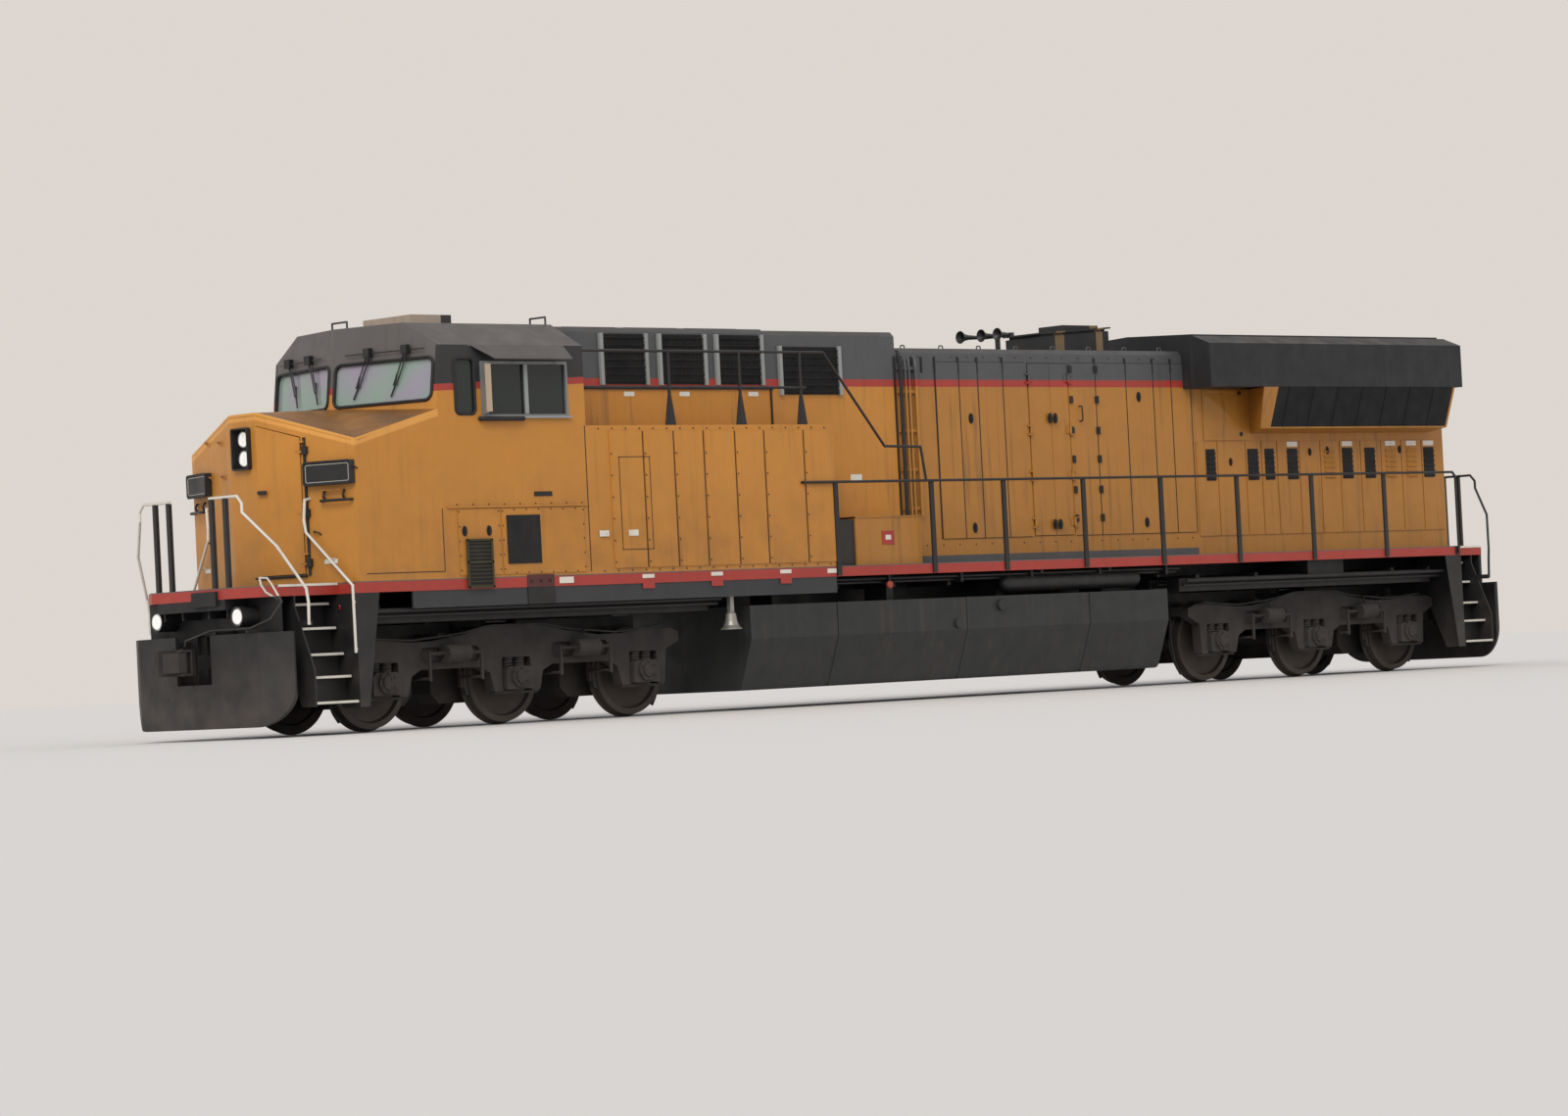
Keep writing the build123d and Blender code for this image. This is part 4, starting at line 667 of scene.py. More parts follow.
# %% Dress the solid parts
plan = {
    cab_paint: "cab_sides cab_rear_wall",
    front_paint: "cab_front",
    nose_paint: "nose_shell",
    grid_paint: "grid_cab",
    hood_paint: "engine_hood hood_door_left_front hood_door_left_rear hood_door_right_front"
                " hood_door_right_rear",
    yellow_paint: "nose_door cab_rear_door inverter_cabinet",
    shaded_yellow: "radiator_cab",
    box_paint: "walkway_boxes",
    louvre_shade_paint: "grilles",
    wing_paint: "radiator_wings",
    grey_paint: "cab_roof walkway_deck",
    cooler_paint: "roof_fittings",
    sill_paint: "side_sills",
    black_paint: "underframe air_reservoirs end_steps lamp_housings number_boards",
    pilot_paint: "front_pilot rear_pilot",
    tank_paint: "fuel_tank",
    rail_black: "side_handrails wipers",
    white_paint: "front_handrails",
    lever_paint: "uncoupling_levers",
    cast_steel: "front_coupler rear_coupler front_knuckle rear_knuckle engine front_truck_frame"
                " rear_truck_frame front_truck_gear rear_truck_gear front_traction_motors rear_traction_motors",
    wheel_steel: " ".join(f"wheelset_{k}" for k in range(1, 7)),
    sooty_paint: "exhaust_silencer",
    horn_paint: "horn",
    # The radiator screens take an opening's near-black, which is painted shade.
    opening_shade: "radiator_screens",
    frame_metal: "window_frames",
    bell_metal: "bell",
    inside_grey: "cab_interior",
    seat_cloth: "cab_seats",
    window_glass: "cab_glass",
    lamp_glass: "lamp_lenses",
}
dressed = set()
for finish, names in plan.items():
    for name in names.split():
        mesh = nodes[name].data
        if len(mesh.materials) == 0:
            mesh.materials.append(finish)
        for k in range(len(mesh.materials)):
            mesh.materials[k] = finish
        dressed.add(name)
print("not dressed:", sorted(set(nodes) - dressed))

# %% [markdown]
# ## Windscreen gaskets
# A rubber strip's path is a rounded oblong seen from the front, and its X comes from the leaning plane of the
# pane, so that it lies on the glass edge.

# %% Gaskets
def rounded_oblong(width, height, radius):
    """Closed loop: four quarter circles of that radius, centred in from the corners."""
    a = np.linspace(0, np.pi / 2, 7)[None, :] + np.arange(4)[:, None] * np.pi / 2
    cx = np.array([1, -1, -1, 1])[:, None] * (width / 2 - radius)
    cy = np.array([1, 1, -1, -1])[:, None] * (height / 2 - radius)
    return np.stack([cx + radius * np.cos(a), cy + radius * np.sin(a)], -1).reshape(-1, 2)


def pane_x(y, z):
    """X of the leaning pane: 9 m at the middle foot, less 0.224 for each metre out and 0.126 for each up."""
    return 9.0 - 0.2241 * np.abs(y) - 0.1263 * (z - 3.8)


def pane_loop(width, height, radius, out):
    """Oblong round a windscreen pane, each point that far out from the leaning plane."""
    loop = rounded_oblong(width, height, radius) + [0.768, 4.065]
    return np.stack([pane_x(loop[:, 0], loop[:, 1]) + out, loop[:, 0], loop[:, 1]], -1)


def side_loop(x0, x1, z0, z1, radius, y):
    """Oblong in an upright plane at that y."""
    loop = rounded_oblong(x1 - x0, z1 - z0, radius) + [(x0 + x1) / 2, (z0 + z1) / 2]
    return np.stack([loop[:, 0], np.full(len(loop), y), loop[:, 1]], -1)


gaskets = [bar(pane_loop(1.425, 0.5, 0.09, 0.004), 0.021, 8, True),
    bar(side_loop(8.07, 8.37, 3.64, 4.29, 0.06, 1.55), 0.018, 8, True)]
piece("window_gaskets", both(gaskets), rubber)

# %% [markdown]
# ## The side window's fittings
# An arm rest and a sill are under the sliding window, and a beige strip edges the wind deflector.

# %% Cab side fittings
rest = bar(rounded([(7.36, 1.555, 3.585), (7.38, 1.6, 3.58), (8.0, 1.6, 3.58), (8.02, 1.555, 3.585)], 0.03),
    0.028, 10)
piece("window_arm_rests", both([rest]), rubber)
trim = [(7.905, 7.99, 1.655, 1.666, 3.66, 4.22)]
flat_piece("deflector_edges", both([blocks(trim)]), beige)
pale_rows = [(6.62, 7.35, BOX_Y, 1.59, 3.588, 3.612), (7.262, 7.318, 1.558, 1.566, 3.64, 4.22)]
flat_piece("window_sills", both([blocks(pale_rows)]), pale_frame)

# %% [markdown]
# ## Coil springs
# A coil is a bar along a helix: the angle turns as the height climbs. The coils move with their truck.

# %% Coil springs
def helix(x, y, z0, z1, radius, turns):
    """Path whose angle grows evenly while its height climbs from z0 to z1."""
    t = np.linspace(0, 1, int(turns * 18))
    a = 2 * np.pi * turns * t
    return np.stack([x + radius * np.cos(a), y + radius * np.sin(a), z0 + (z1 - z0) * t], -1)


for end, way in ENDS:
    coils = [bar(helix(x + dx, 1.015, 0.69, 0.781, 0.064, 2.5), 0.013) for x in AXLES[way]
        for dx in (-0.088, 0.088)]
    piece(f"{end}_coil_springs", both(coils), cast_steel, f"{end}_truck")

# %% [markdown]
# ## Bolts on the trucks
# They hold the axle box covers and ring each end of a brake cylinder. Hundreds of heads are one mesh.

# %% Truck bolts
def ring_points(x, y, z, radius, count, turn=0.0):
    """Points spaced evenly round a circle that is seen from the side."""
    a = np.linspace(0, 2 * np.pi, count, endpoint=False) + turn
    return np.stack([x + radius * np.cos(a), np.full(count, y), z + radius * np.sin(a)], -1)


for end, way in ENDS:
    covers = [ring_points(x, 1.18, AXLE_Z, 0.108, 6, 0.52) for x in AXLES[way]]
    caps = [ring_points(x, 1.198, AXLE_Z, 0.056, 3) for x in AXLES[way]]
    heads = [bolt_heads(covers, LEFT, 0.016, 0.014), bolt_heads(caps, LEFT, 0.012, 0.01)]
    for k in (-1, 1):
        for x_end, facing in ((0.172, 1), (-0.172, -1)):
            a = np.linspace(0, 2 * np.pi, 8, endpoint=False)
            cx = way * TRUCK_X + k * CYLINDER_X + x_end
            ring = np.stack([np.full(8, cx), 1.2 + 0.088 * np.cos(a), 0.87 + 0.088 * np.sin(a)], -1)
            heads.append(bolt_heads(ring, (facing, 0, 0), 0.01, 0.01))
    flat_piece(f"{end}_truck_bolts", both(heads), cast_steel, f"{end}_truck")

# %% [markdown]
# ## Pipes on the trucks
# Brake air runs along each side frame, and sand falls through a bent pipe by the outer wheels.

# %% Truck pipes
for end, way in ENDS:
    pipes = []
    c = TRUCK_X
    for k in (-1, 1):
        pipes.append(bar(rounded([(c + k * 2.55, 0.72, 1.0), (c + k * 2.57, 0.72, 0.62),
            (c + k * 2.52, 0.73, 0.28), (c + k * 2.42, 0.745, 0.13)], 0.12), 0.021, 8))
        pipes.append(bar(rounded([(c + k * 2.3, 1.105, 1.085), (c + k * 1.6, 1.105, 1.035),
            (c + k * CYLINDER_X, 1.14, 1.08), (c + k * CYLINDER_X, 1.2, 0.97)], 0.1), 0.012, 6))
    pipes.append(bar(rounded([(c - 1.6, 1.105, 1.035), (c - 0.8, 1.105, 1.1), (c - 0.43, 1.105, 1.175),
        (c + 0.43, 1.105, 1.175), (c + 0.8, 1.105, 1.1), (c + 1.6, 1.105, 1.035)], 0.1), 0.012, 6))
    sides = both(pipes)
    piece(f"{end}_truck_pipes", sides if way > 0 else [endways(p) for p in sides], rubber, f"{end}_truck")

# %% [markdown]
# ## Under the frame
# Ducts and pipes run above each truck, high enough for it to turn, and over the tank. Air ducts on the trucks
# turn with them. A dark frame fills the space behind each coupler's opening.

# %% Ducts and pipes under the frame
duct_rows = [(4.3, 9.6, y - 0.11, y + 0.11, 1.245, 1.42) for y in (0.62, 1.16)]
duct_rows += posts((4.6, 5.8, TRUCK_X, 8.7, 9.5), 0.03, 0.45, 1.34, 1.4, 1.46)
runs = [bar([(4.25, y, z), (9.7, y, z)], 0.024) for y, z in ((0.84, 1.3), (0.91, 1.36), (1.38, 1.33),
    (1.45, 1.385))]
middle_runs = [bar([(-4.2, y, z), (4.2, y, z)], 0.022) for y, z in ((1.3, 1.52), (1.37, 1.56))]
hangers = posts(np.arange(-3.9, 4.0, 1.3), 0.02, 1.26, 1.42, 1.48, 1.66)
flat_piece("frame_ducts", all_corners([blocks(duct_rows)] + runs) + both(middle_runs + [blocks(hangers)]),
    black_paint)

for end, way in ENDS:
    c = TRUCK_X * way
    rows = [(c + way * a, c + way * b, 0.3, 0.5, 0.985, 1.232) for a, b in ((-2.4, -0.52), (0.52, 2.3))]
    rows = [(*sorted(r[:2]), *r[2:]) for r in rows]
    flat_piece(f"{end}_truck_ducts", both([blocks(rows)]), black_paint, f"{end}_truck")

mouth_rows = [(10.768, 10.789, -0.34, 0.34, 0.625, 0.702)]
mouth_rows += [(10.768, 10.789, y - 0.04, y + 0.04, 0.701, 1.2) for y in (-0.3, 0.3)]
mouth_frame = blocks(mouth_rows)
flat_piece("coupler_opening_frames", [mouth_frame, endways(mouth_frame)], black_paint)

# %% [markdown]
# ## Roof and rear end
# Slats follow the radiator top's slope: 48 mm down for each metre out. The rear has grab irons and seams.

# %% Roof and rear end
slats = [(-10.12, -4.94, y - 0.01, y + 0.01, 4.745 - 0.048 * abs(y) - 0.02, 4.768 - 0.048 * abs(y))
    for y in np.arange(-1.1, 1.11, 0.055)]
flat_piece("radiator_top_slats", [blocks(slats)], rubber)
eyes = [bar(rounded([(x - 0.035, 0.9, 4.5), (x - 0.035, 0.9, 4.555), (x + 0.035, 0.9, 4.555),
    (x + 0.035, 0.9, 4.5)], 0.02), 0.009, 6) for x in (0.35, -0.35, -1.05, -1.75, -2.45, -3.15, -3.85, -4.55)]
piece("hood_lifting_eyes", both(eyes), hood_paint)
irons = [bar(rounded([(-10.355, 0.55, z), (-10.43, 0.55, z), (-10.43, 0.95, z), (-10.355, 0.95, z)], 0.03),
    0.012) for z in (2.05, 2.45, 2.85, 3.25, 3.65)]
piece("rear_grab_irons", both(irons), rail_black)
rear_lines = [(-10.366, -10.356, 0.4 - 0.005, 0.4 + 0.005, 1.8, 3.95)]
rear_lines += rails((1.95, 3.7), 0.004, -10.366, -10.356, 0.0, 1.0)
rear_points = [(-10.36, y, z) for y in (0.44, 0.98) for z in np.arange(1.9, 3.9, 0.24)]
flat_piece("rear_panel_lines", both([blocks(rear_lines), bolt_heads(rear_points, (-1, 0, 0), 0.01, 0.009)]),
    rubber)

# %% [markdown]
# ## Step nosings
# Every tread has a pale front edge, so that a crew member sees it.

# %% Step nosings
tread_rows = [(1.545, 0.37), (1.43, 0.66), (1.31, 0.92), (1.19, 1.22), (1.08, 1.5)]
strips = [(10.005, 10.6, y - 0.004, y + 0.006, z - 0.014, z + 0.014) for y, z in tread_rows]
strips.append((9.985, 10.835, 1.226, 1.239, 1.706, 1.734))
flat_piece("step_nosings", all_corners([blocks(strips)]), white_paint)

# %% [markdown]
# ## Latches and hinges on the doors
# A latch plate is a turned dish, stretched upward. Those on the doors that open ride on them.

# %% Hood latches and hinges
def latch(x, y, z, size=0.045):
    """Dished plate with a handle bar: rings of a shallow bowl, and a block across it."""
    bowl = turned([(0.0, 0.004), (size * 0.8, 0.005), (size, 0.012), (size * 1.12, 0.01), (size * 1.15, 0.0)],
        (0, 0, 0), LEFT, 16)
    points = bowl[0] * [0.8, 1, 1.35] + [x, y, z]
    handle = blocks([(x - 0.01, x + 0.01, y + 0.004, y + 0.024, z - size, z + size * 0.7)])
    return [(points, bowl[1]), handle]


fixed_latches = [(-0.707, 3.603), (-3.947, 3.885), (-0.683, 2.181), (-3.99, 2.196)]
plates = [q for x, z in fixed_latches for q in latch(x, 1.032, z)]
hinge_z = (4.249, 3.845, 3.434, 3.056, 2.65, 2.272)
hinge_rows = [(x - 0.028, x + 0.028, 1.03, 1.05, z - 0.045, z + 0.045) for x in (-2.62, -3.11) for z in hinge_z]
hinge_bars = [bar([(x, 1.052, z - 0.05), (x, 1.052, z + 0.05)], 0.011) for x in (-2.6, -3.13) for z in hinge_z]
grab = bar(rounded([(-2.77, 1.03, 3.76), (-2.77, 1.09, 3.76), (-2.77, 1.09, 3.56), (-2.77, 1.03, 3.56)], 0.03),
    0.01)
piece("hood_latches", both(plates + [grab]), rubber)
flat_piece("hood_hinge_rows", both([blocks(hinge_rows)] + hinge_bars), black_paint)

for side_name, turn in (("left", 1), ("right", -1)):
    for end, x in (("front", -2.17), ("rear", -2.27)):
        parts = [q for z in (3.6, 2.2) for q in latch(x, 1.058, z)]
        parts = parts if turn > 0 else [across(p) for p in parts]
        piece(f"door_latches_{side_name}_{end}", parts, rubber, f"hood_door_{side_name}_{end}")

# %% [markdown]
# ## Conduits on the hood
# Three pipes and a thick cable duct climb the hood behind the electrical cab, held by clips.

# %% Conduits
conduits = [bar(rounded([(x, 1.045 + r, 2.34), (x, 1.045 + r, 4.3), (x - 0.05, 0.98, 4.46)], 0.08), r, 10)
    for x, r in ((0.48, 0.016), (0.41, 0.016), (0.3, 0.022))]
clips = rails((2.45, 2.95, 3.45, 3.95, 4.25), 0.02, 0.27, 0.62, HOOD_Y, 1.05)
piece("hood_conduits", both([blocks(clips)] + conduits), hood_paint)
duct = bar(rounded([(0.575, 1.072, 1.75), (0.575, 1.072, 4.32), (0.56, 1.0, 4.47)], 0.08), 0.027, 10)
# Dark strips on the hood just behind each conduit: painted shadows of the conduits.
conduit_shadow_strips = [(x - 0.01, x + 0.006, HOOD_Y, 1.046, 2.36, 4.26) for x in (0.445, 0.375, 0.262)]
piece("hood_duct", both([duct, blocks(conduit_shadow_strips)]), rubber)

# %% [markdown]
# ## Door seams and a ledge's painted shadow
# Dark strips fill the gaps between fixed leaves. A dark bar below the grid cab's grilles is the painted shadow
# of a ledge, and the tall cabinet has seams and the outline of a small door.

# %% Door seams and a ledge's painted shadow
fixed_gaps = [-0.09, -0.52, -0.87, -1.34, -3.11, -3.71, -4.25, -4.61, -5.0]
strips = posts(fixed_gaps, 0.009, HOOD_Y, 1.031, 2.05, 4.33)
stubs = posts(fixed_gaps + [0.15, 0.33], 0.013, HOOD_Y, 1.034, 4.2, 4.4)
rims = [(x0, x1, HOOD_Y, 1.03, z - 0.006, z + 0.006) for x0, x1 in ((-4.99, -2.62), (-1.76, -0.1))
    for z in (2.05, 4.33)]
flat_piece("hood_door_seams", both([blocks(strips + stubs + rims)]), rubber)

# Under the grilles a dark bar is a painted shadow of the ledge; two upright dark lines go with it.
ledge_shadow_rows = [(2.79, 6.36, HOOD_Y, 1.04, 3.972, 3.992), (2.815, 2.84, HOOD_Y, 1.034, 3.5, 3.98),
    (0.63, 0.655, HOOD_Y, 1.034, 1.84, 4.4)]
lines = rails((2.01, 3.12), 0.004, 5.39, 5.9, BOX_Y, 1.5655)
lines += posts((5.4, 5.89), 0.004, BOX_Y, 1.5655, 2.01, 3.12)
seam_rows = posts((5.49, 4.99, 4.5, 3.98, 3.49, 2.82), 0.006, CAB_Y, 1.556, 1.79, 3.43)
flat_piece("grid_cab_ledge_shadows", both([blocks(ledge_shadow_rows)]), rubber)
flat_piece("cabinet_lines", [blocks(lines + seam_rows)], rubber)

# %% [markdown]
# ## Blank patches and tabs
# White patches sit on the red stripe and the side panels, with red tabs below some, all bare.

# %% Patches and tabs
tab_x = [(5.405, 5.595), (4.285, 4.475), (3.135, 3.32)]
white_rows = [(6.69, 6.91, CAB_Y, 1.556, 1.632, 1.706), (2.36, 2.51, CAB_Y, 1.556, 1.645, 1.7)]
white_rows += [(x0, x1, CAB_Y, 1.556, 1.66, 1.706) for x0, x1 in tab_x]
white_rows += [(x0, x1, 1.016, 1.025, 3.888, 3.944) for x0, x1 in ((5.11, 5.275), (4.2, 4.365), (3.045, 3.21))]
white_rows += [(1.315, 1.51, 1.016, 1.025, 2.822, 2.898)]
white_rows += [(x0, x1, 1.03, 1.037, 3.195, 3.262) for x0, x1 in ((-7.15, -6.93), (-8.33, -8.11),
    (-9.28, -9.06), (-9.74, -9.52), (-10.13, -9.9))]
box_white = [(6.105, 6.255, 1.56, 1.567, 2.172, 2.244), (5.635, 5.785, 1.56, 1.567, 2.172, 2.244),
    (1.25, 1.345, 1.419, 1.429, 2.045, 2.105)]
flat_piece("blank_white_patches", both([blocks(white_rows)]) + [blocks(box_white)], white_paint)
tab_rows = [(x0, x1, CAB_Y, 1.555, 1.535, 1.6) for x0, x1 in tab_x]
button = turned([(0.0, 0.02), (0.04, 0.016), (0.048, 0.006), (0.048, -0.02)], (1.38, 1.5, 1.475), LEFT, 16)
flat_piece("red_tabs", both([blocks(tab_rows), button]) + [blocks([(1.19, 1.405, 1.418, 1.426, 1.985, 2.158)])],
    red_paint)
notch = [(6.98, 7.4, CAB_Y, 1.553, 1.398, 1.6), (6.962, 7.236, CAB_Y, 1.558, 2.668, 2.722)]
notch_bolts = [(x, 1.556, 1.672) for x in (7.06, 7.2, 7.34)]
flat_piece("stripe_box", both([blocks([(6.99, 7.41, CAB_Y, 1.556, 1.6, 1.745)])]), box_red)
flat_piece("dark_plates", both([blocks(notch), bolt_heads(notch_bolts, LEFT, 0.018, 0.014)]), rubber)

# %% [markdown]
# ## Below the cab window
# A vent with green mesh, two latches, seams and bolts are low on the cab's side. Last come latches and locks on
# the radiator cab.

# %% Below the cab window
vent_bars = rails((1.62, 1.91, 2.17), 0.012, 7.93, 8.33, 1.57, 1.588)
vent_bars += posts((7.945, 8.315), 0.012, 1.57, 1.588, 1.61, 2.18)
vent_mesh = rails(np.arange(1.64, 2.16, 0.045), 0.006, 7.95, 8.31, 1.57, 1.577)
flat_piece("cab_vent_bars", both([blocks(vent_bars), blocks(vent_mesh)]), olive_mesh)
cab_latches = [q for x in (8.334, 7.963) for q in latch(x, 1.56, 2.275, 0.04)]
piece("cab_latches", both(cab_latches), rubber)
panel_points = [(x, 1.56, z) for x in (8.405, 7.805, 7.745, 6.495) for z in np.arange(1.82, 2.52, 0.17)]
panel_points += [(x, 1.56, z) for x in np.arange(6.62, 7.75, 0.19) for z in (1.775, 2.515)]
seam_lines = [(8.64, 8.65, 1.546, 1.5525, 1.815, 2.545), (8.65, 9.8, 1.546, 1.5525, 1.81, 1.82)]
seam_lines += [(6.395, 6.407, 1.546, 1.5525, 1.76, 3.5)]
flat_piece("cab_seam_lines", both([blocks(seam_lines)]), rubber)
panel_points += [(x, 1.55, 2.585) for x in np.arange(6.5, 8.55, 0.24)]
flat_piece("cab_panel_bolts", both([bolt_heads(panel_points, LEFT, 0.009, 0.007)]), rubber)

locks = bolt_heads([(-5.985, 1.034, 3.935), (-5.985, 1.034, 3.375)], LEFT, 0.03, 0.02, 10)
radiator_latches = [q for x, z in ((-5.744, 2.993), (-7.414, 3.118), (-7.791, 3.136), (-9.37, 3.139))
    for q in latch(x, 1.032, z, 0.036)]
piece("radiator_latches", both([locks] + radiator_latches), rubber)

# %% [markdown]
# ## Lamps
# The headlight's two lamps and the ditch lights have bright rings; red markers are by the front steps.

# %% Lamp rings and markers
ring_profile = [(0.074, -0.012), (0.082, -0.002), (0.092, 0.006), (0.098, 0.0), (0.098, -0.03), (0.086, -0.03)]
small_ring = [(0.074, -0.012), (0.082, -0.002), (0.092, 0.004), (0.098, 0.0), (0.098, -0.02), (0.086, -0.02)]
rings = [turned(ring_profile, (10.292, 0, 3.345 + dz), AHEAD, 32) for dz in (-0.112, 0.112)]
ditch_rings = [turned(small_ring, (11.083, y, 1.395), AHEAD, 28) for y in (-0.77, 0.77)]
piece("lamp_rings", rings + ditch_rings + [endways(r) for r in ditch_rings], bare_metal)
markers = [turned([(0.0, 0.024), (0.018, 0.02), (0.028, 0.008), (0.03, 0.0), (0.0, 0.0)], (9.99, y, 1.455),
    AHEAD, 14) for y in (1.26, -1.26)]
piece("red_markers", markers, red_glass)
print("pieces so far:", len(made))

# %% [markdown]
# ## Number boards
# The boards are blank. Points on the nose's slanted face are found from a run along it and a height.

# %% Number boards
NOSE_ALONG = np.array([-0.3008, 0.9537, 0.0])
NOSE_OUT = np.array([0.9537, 0.3008, 0.0])
NOSE_START = np.array([10.3, 0.25, 0.0])
UP = np.array([0, 0, 1.0])


def on_nose(run, out, z):
    """Point on the left slanted face: start plus run along it, plus out square to it, at height z."""
    run, out, z = np.broadcast_arrays(np.asarray(run, float), out, z)
    return NOSE_START + run[..., None] * NOSE_ALONG + out[..., None] * NOSE_OUT + z[..., None] * UP


def board_loop(width, height, radius, out):
    """Oblong round the middle of a board, that far out from the slanted face."""
    loop = rounded_oblong(width, height, radius)
    return on_nose(1.02 + loop[:, 0], out, 2.99 + loop[:, 1])


edge = bar(board_loop(0.65, 0.26, 0.03, 0.081), 0.012, 6, True)
line = bar(board_loop(0.59, 0.2, 0.02, 0.0805), 0.003, 6, True)
piece("board_edges", both([edge]), rubber)
piece("board_lines", both([line]), white_paint)

# %% [markdown]
# ## Grab irons, hooks and threshold of the nose
# Bars and boxes are turned onto the slanted face; the hooks are on the right only, as in the photograph. The
# grip on the door swings with it.

# %% Nose grab irons, hooks and threshold
def nose_bar(points, radius):
    """Bar whose corners are given as run along the slanted face, distance out from it, and height."""
    return bar(rounded(on_nose(*np.array(points, float).T), 0.03), radius)


grabs = [nose_bar([(0.9, 0.0, 2.675), (0.9, 0.07, 2.675), (1.3, 0.07, 2.675), (1.3, 0.0, 2.675)], 0.018)]
grabs += [nose_bar([(r, 0.01, 2.69), (r, 0.05, 2.73), (r, 0.01, 2.79)], 0.014) for r in (0.93, 1.2)]
grabs += [nose_bar([(r, -0.005, z), (r, 0.035, z + 0.02), (r + 0.07, 0.035, z), (r + 0.09, -0.005, z - 0.03)],
    0.009) for r, z in ((0.76, 2.32), (1.3, 3.05))]
piece("nose_grabs", both(grabs), rail_black)
hooks = [across(nose_bar([(r + 0.05, -0.005, z), (r + 0.04, 0.035, z + 0.03), (r - 0.03, 0.035, z + 0.03),
    (r - 0.05, -0.005, z - 0.03)], 0.01)) for r, z in ((0.75, 3.46), (0.3, 3.44), (0.66, 3.04), (0.24, 3.04))]
pale_bars = [nose_bar([(0.92, 0.055, 2.795), (1.05, 0.055, 2.795), (1.18, 0.055, 2.795)], 0.01)]
piece("nose_hooks", hooks + both(pale_bars), shaded_yellow)


def nose_boxes(rows):
    """Boxes seated on the left slanted face: rows of run0, run1, out0, out1, z0, z1 turned onto it."""
    points, faces = blocks(rows)
    return on_nose(*points.T), faces


patches = nose_boxes([(0.88, 1.06, -0.004, 0.005, 1.955, 2.005)])
flat_piece("nose_patches", both([patches]), white_paint)
handle = nose_boxes([(0.025, 0.15, 0.048, 0.058, 2.795, 2.84), (0.025, 0.04, 0.01, 0.05, 2.8, 2.835)])
flat_piece("nose_door_handle_grip", [handle], rail_black, "nose_door")
sill = [nose_bar([(-0.08, 0.016, 1.835), (0.3, 0.016, 1.835), (0.64, 0.016, 1.835)], 0.014)]
post = nose_bar([(0.672, 0.004, 1.84), (0.672, 0.004, 2.6), (0.672, 0.004, 3.42)], 0.02)
blocks_by_hinges = nose_boxes([(0.655, 0.72, -0.004, 0.045, z - 0.045, z + 0.045) for z in (3.27, 2.55, 1.98)])
piece("nose_threshold", sill + [post, blocks_by_hinges], rubber)

# %% [markdown]
# ## The bright edge of the nose
# A slim rolled edge, sunk in so that only its curve shows, carries a brighter, soot-free yellow: painted
# highlight.

# %% Nose edge
EDGE = np.array([[8.7, 1.53, 3.675], [9.89, 1.55, 3.37], [10.3, 0.25, 3.75]])
roll = np.concatenate([EDGE, (EDGE * [1, -1, 1])[::-1]]) * [1, 0.987, 1] - [0.018, 0, 0.02]
# The rolled edge is painted a brighter yellow as a painted highlight.
piece("nose_rolled_edge", [bar(rounded(roll, 0.04), 0.026, 12)], edge_highlight_paint)

# %% [markdown]
# ## Bolt rows on the cabinets
# Small bolts hold the big side panels, in rows along the seams.

# %% Cabinet bolts
seams = (6.04, 5.49, 4.99, 4.5, 3.98, 3.49, 2.82)
seam_bolts = [(x - 0.03, 1.563, z) for x in seams for z in np.arange(1.86, 3.42, 0.26)]
edge_bolts = [(x, 1.551, z) for z in (3.462, 1.762) for x in np.arange(2.45, 6.3, 0.22)]
hood_bolts = [(x, 1.021, z) for z in (4.4, 1.97) for x in np.arange(-4.9, 0.5, 0.3)]
flat_piece("cabinet_bolts", [bolt_heads(seam_bolts + edge_bolts, LEFT, 0.01, 0.008)], rail_black)
flat_piece("hood_bolts", both([bolt_heads(hood_bolts, LEFT, 0.01, 0.008)]), rail_black)

# %% [markdown]
# ## Mesh over the air intakes
# A real weave would be far too fine, so each screen is a lattice of thin flat bars, between pale strips.

# %% Intake screens
def lattice(x0, x1, z0, z1, y, pitch, width, thick):
    """Upright and lengthwise bars, one every pitch, starting half a pitch in from each edge."""
    xs = np.arange(x0 + pitch / 2, x1, pitch)
    zs = np.arange(z0 + pitch / 2, z1, pitch)
    up = posts(xs, width / 2, y, y + thick, z0, z1)
    along = rails(zs, width / 2, x0, x1, y + 0.001, y + thick + 0.001)
    return blocks(up + along)


intakes = [(4.93, 5.6, 4.035, 4.645), (3.96, 4.65, 4.035, 4.645), (3.0, 3.7, 4.035, 4.645),
    (1.66, 2.63, 3.91, 4.51)]
screens = [lattice(x0, x1, z0, z1, 1.052, 0.045, 0.006, 0.004) for x0, x1, z0, z1 in intakes]
frame_rows = [(a, b, HOOD_Y, 1.062, z0 - 0.01, z1 + 0.01) for x0, x1, z0, z1 in intakes
    for a, b in ((x0 - 0.055, x0 - 0.004), (x1 + 0.004, x1 + 0.055))]
# The screen bars take an opening's near-black: painted shade of the intake behind.
flat_piece("intake_screens", both(screens), opening_shade)
flat_piece("intake_frames", both([blocks(frame_rows)]), pale_frame, slot="grey_paint")

# %% [markdown]
# ## Floor
# A plain pale floor lies 1 mm under the wheels. It is only a stage.

# %% Floor
floor_mesh = bpy.data.meshes.new("floor")
floor_mesh.from_pydata([(-200, -200, -0.001), (200, -200, -0.001), (200, 200, -0.001), (-200, 200, -0.001)], [],
    [(0, 1, 2, 3)])
floor = put("floor", floor_mesh)
floor_finish = bpy.data.materials.new("pale floor")
floor_finish.use_nodes = True
floor_shader = floor_finish.node_tree.nodes["Principled BSDF"]
floor_shader.inputs["Base Color"].default_value = (0.6, 0.575, 0.55, 1)
floor_shader.inputs["Roughness"].default_value = 0.9
floor_mesh.materials.append(floor_finish)
print("floor:", len(floor_mesh.polygons), "face")

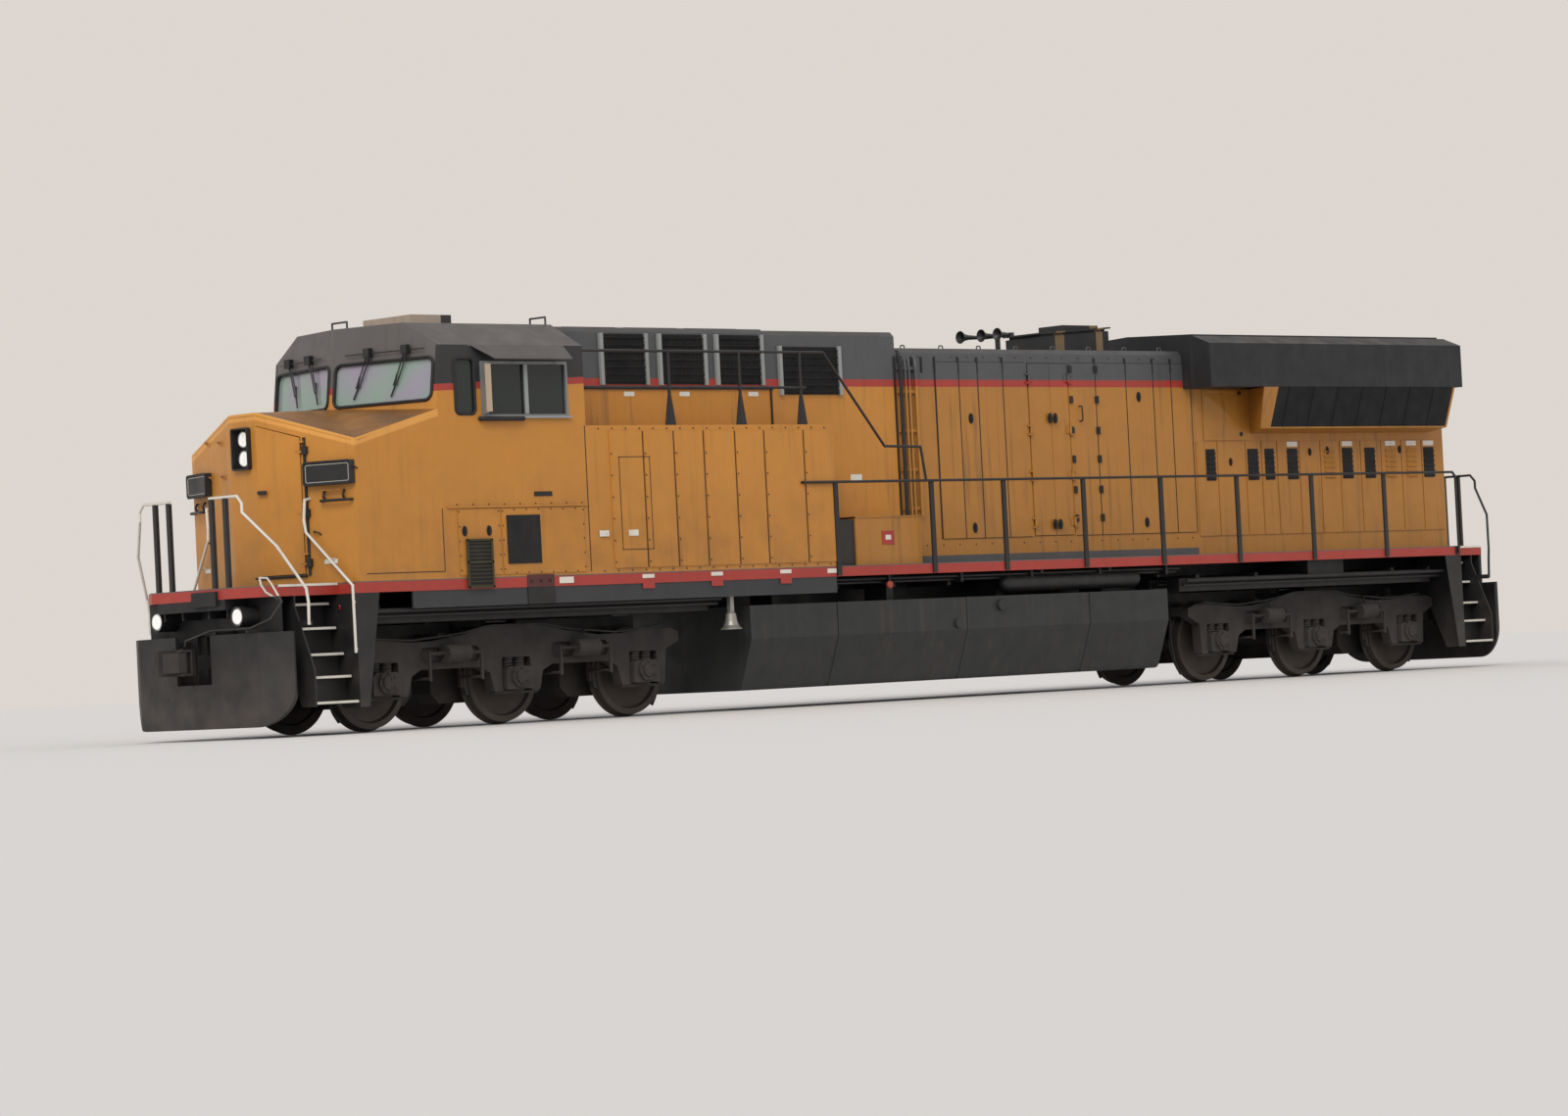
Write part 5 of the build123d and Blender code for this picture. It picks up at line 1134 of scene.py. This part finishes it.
# %% [markdown]
# ## Light
# A bright sky and a wide soft sun stand for an overcast day. The sky seen directly or in a reflection is the
# photograph's warm grey; the light that falls stays neutral.

# %% Light
world = bpy.data.worlds.new("overcast sky")
bpy.context.scene.world = world
world.use_nodes = True
sky = world.node_tree
background = sky.nodes["Background"]
background.inputs["Color"].default_value = (0.93, 0.95, 1.0, 1)
background.inputs["Strength"].default_value = 0.82
seen = node(sky, "ShaderNodeBackground")
seen.inputs["Color"].default_value = (0.72, 0.675, 0.63, 1)
path = node(sky, "ShaderNodeLightPath")
seen_rays = calc(sky, "MAXIMUM", path.outputs["Is Camera Ray"], path.outputs["Is Glossy Ray"])
seen_rays = calc(sky, "MAXIMUM", seen_rays, path.outputs["Is Transmission Ray"])
shown = fed(sky, node(sky, "ShaderNodeMixShader"), seen_rays, background.outputs[0], seen.outputs[0])
sky.links.new(shown, sky.nodes["World Output"].inputs[0])

sun = bpy.data.lights.new("soft sun", "SUN")
sun.energy = 1.75
sun.angle = math.radians(35)
sun.color = (1.0, 0.97, 0.92)
sun_object = put("soft sun", sun)
sun_object.rotation_euler = (math.radians(48), 0, math.radians(126))
print("sun", sun.energy, "and sky", background.inputs["Strength"].default_value)

# %% [markdown]
# ## Camera
# Far off and low, ahead and to the left, with a long lens, as in the photograph: its place and turn were solved
# from the axle spacing and the body's known sizes.

# %% Camera
YAW, PITCH, ROLL = -2.32852, 0.0211, -0.05061
PLACE = (44.416, 45.067, 0.585)
FOCAL_PIXELS, PHOTO_WIDTH, SENSOR = 4955.74, 1600, 36
forward = np.array([math.cos(YAW) * math.cos(PITCH), math.sin(YAW) * math.cos(PITCH), math.sin(PITCH)])
level_right = np.array([math.sin(YAW), -math.cos(YAW), 0.0])
level_up = np.cross(level_right, forward)
right = level_right * math.cos(ROLL) + level_up * math.sin(ROLL)
up = -level_right * math.sin(ROLL) + level_up * math.cos(ROLL)
camera_data = bpy.data.cameras.new("camera")
camera_data.sensor_width = SENSOR
camera_data.lens = SENSOR * FOCAL_PIXELS / PHOTO_WIDTH
camera_data.clip_end = 500
camera = put("camera", camera_data)
turn = np.eye(4)
turn[:3, 0], turn[:3, 1], turn[:3, 2], turn[:3, 3] = right, up, -forward, PLACE
camera.matrix_world = Matrix(turn.tolist())
bpy.context.scene.camera = camera
bpy.context.scene.view_settings.view_transform = "Standard"
print("camera", round(camera_data.lens, 1), "mm lens at", PLACE)
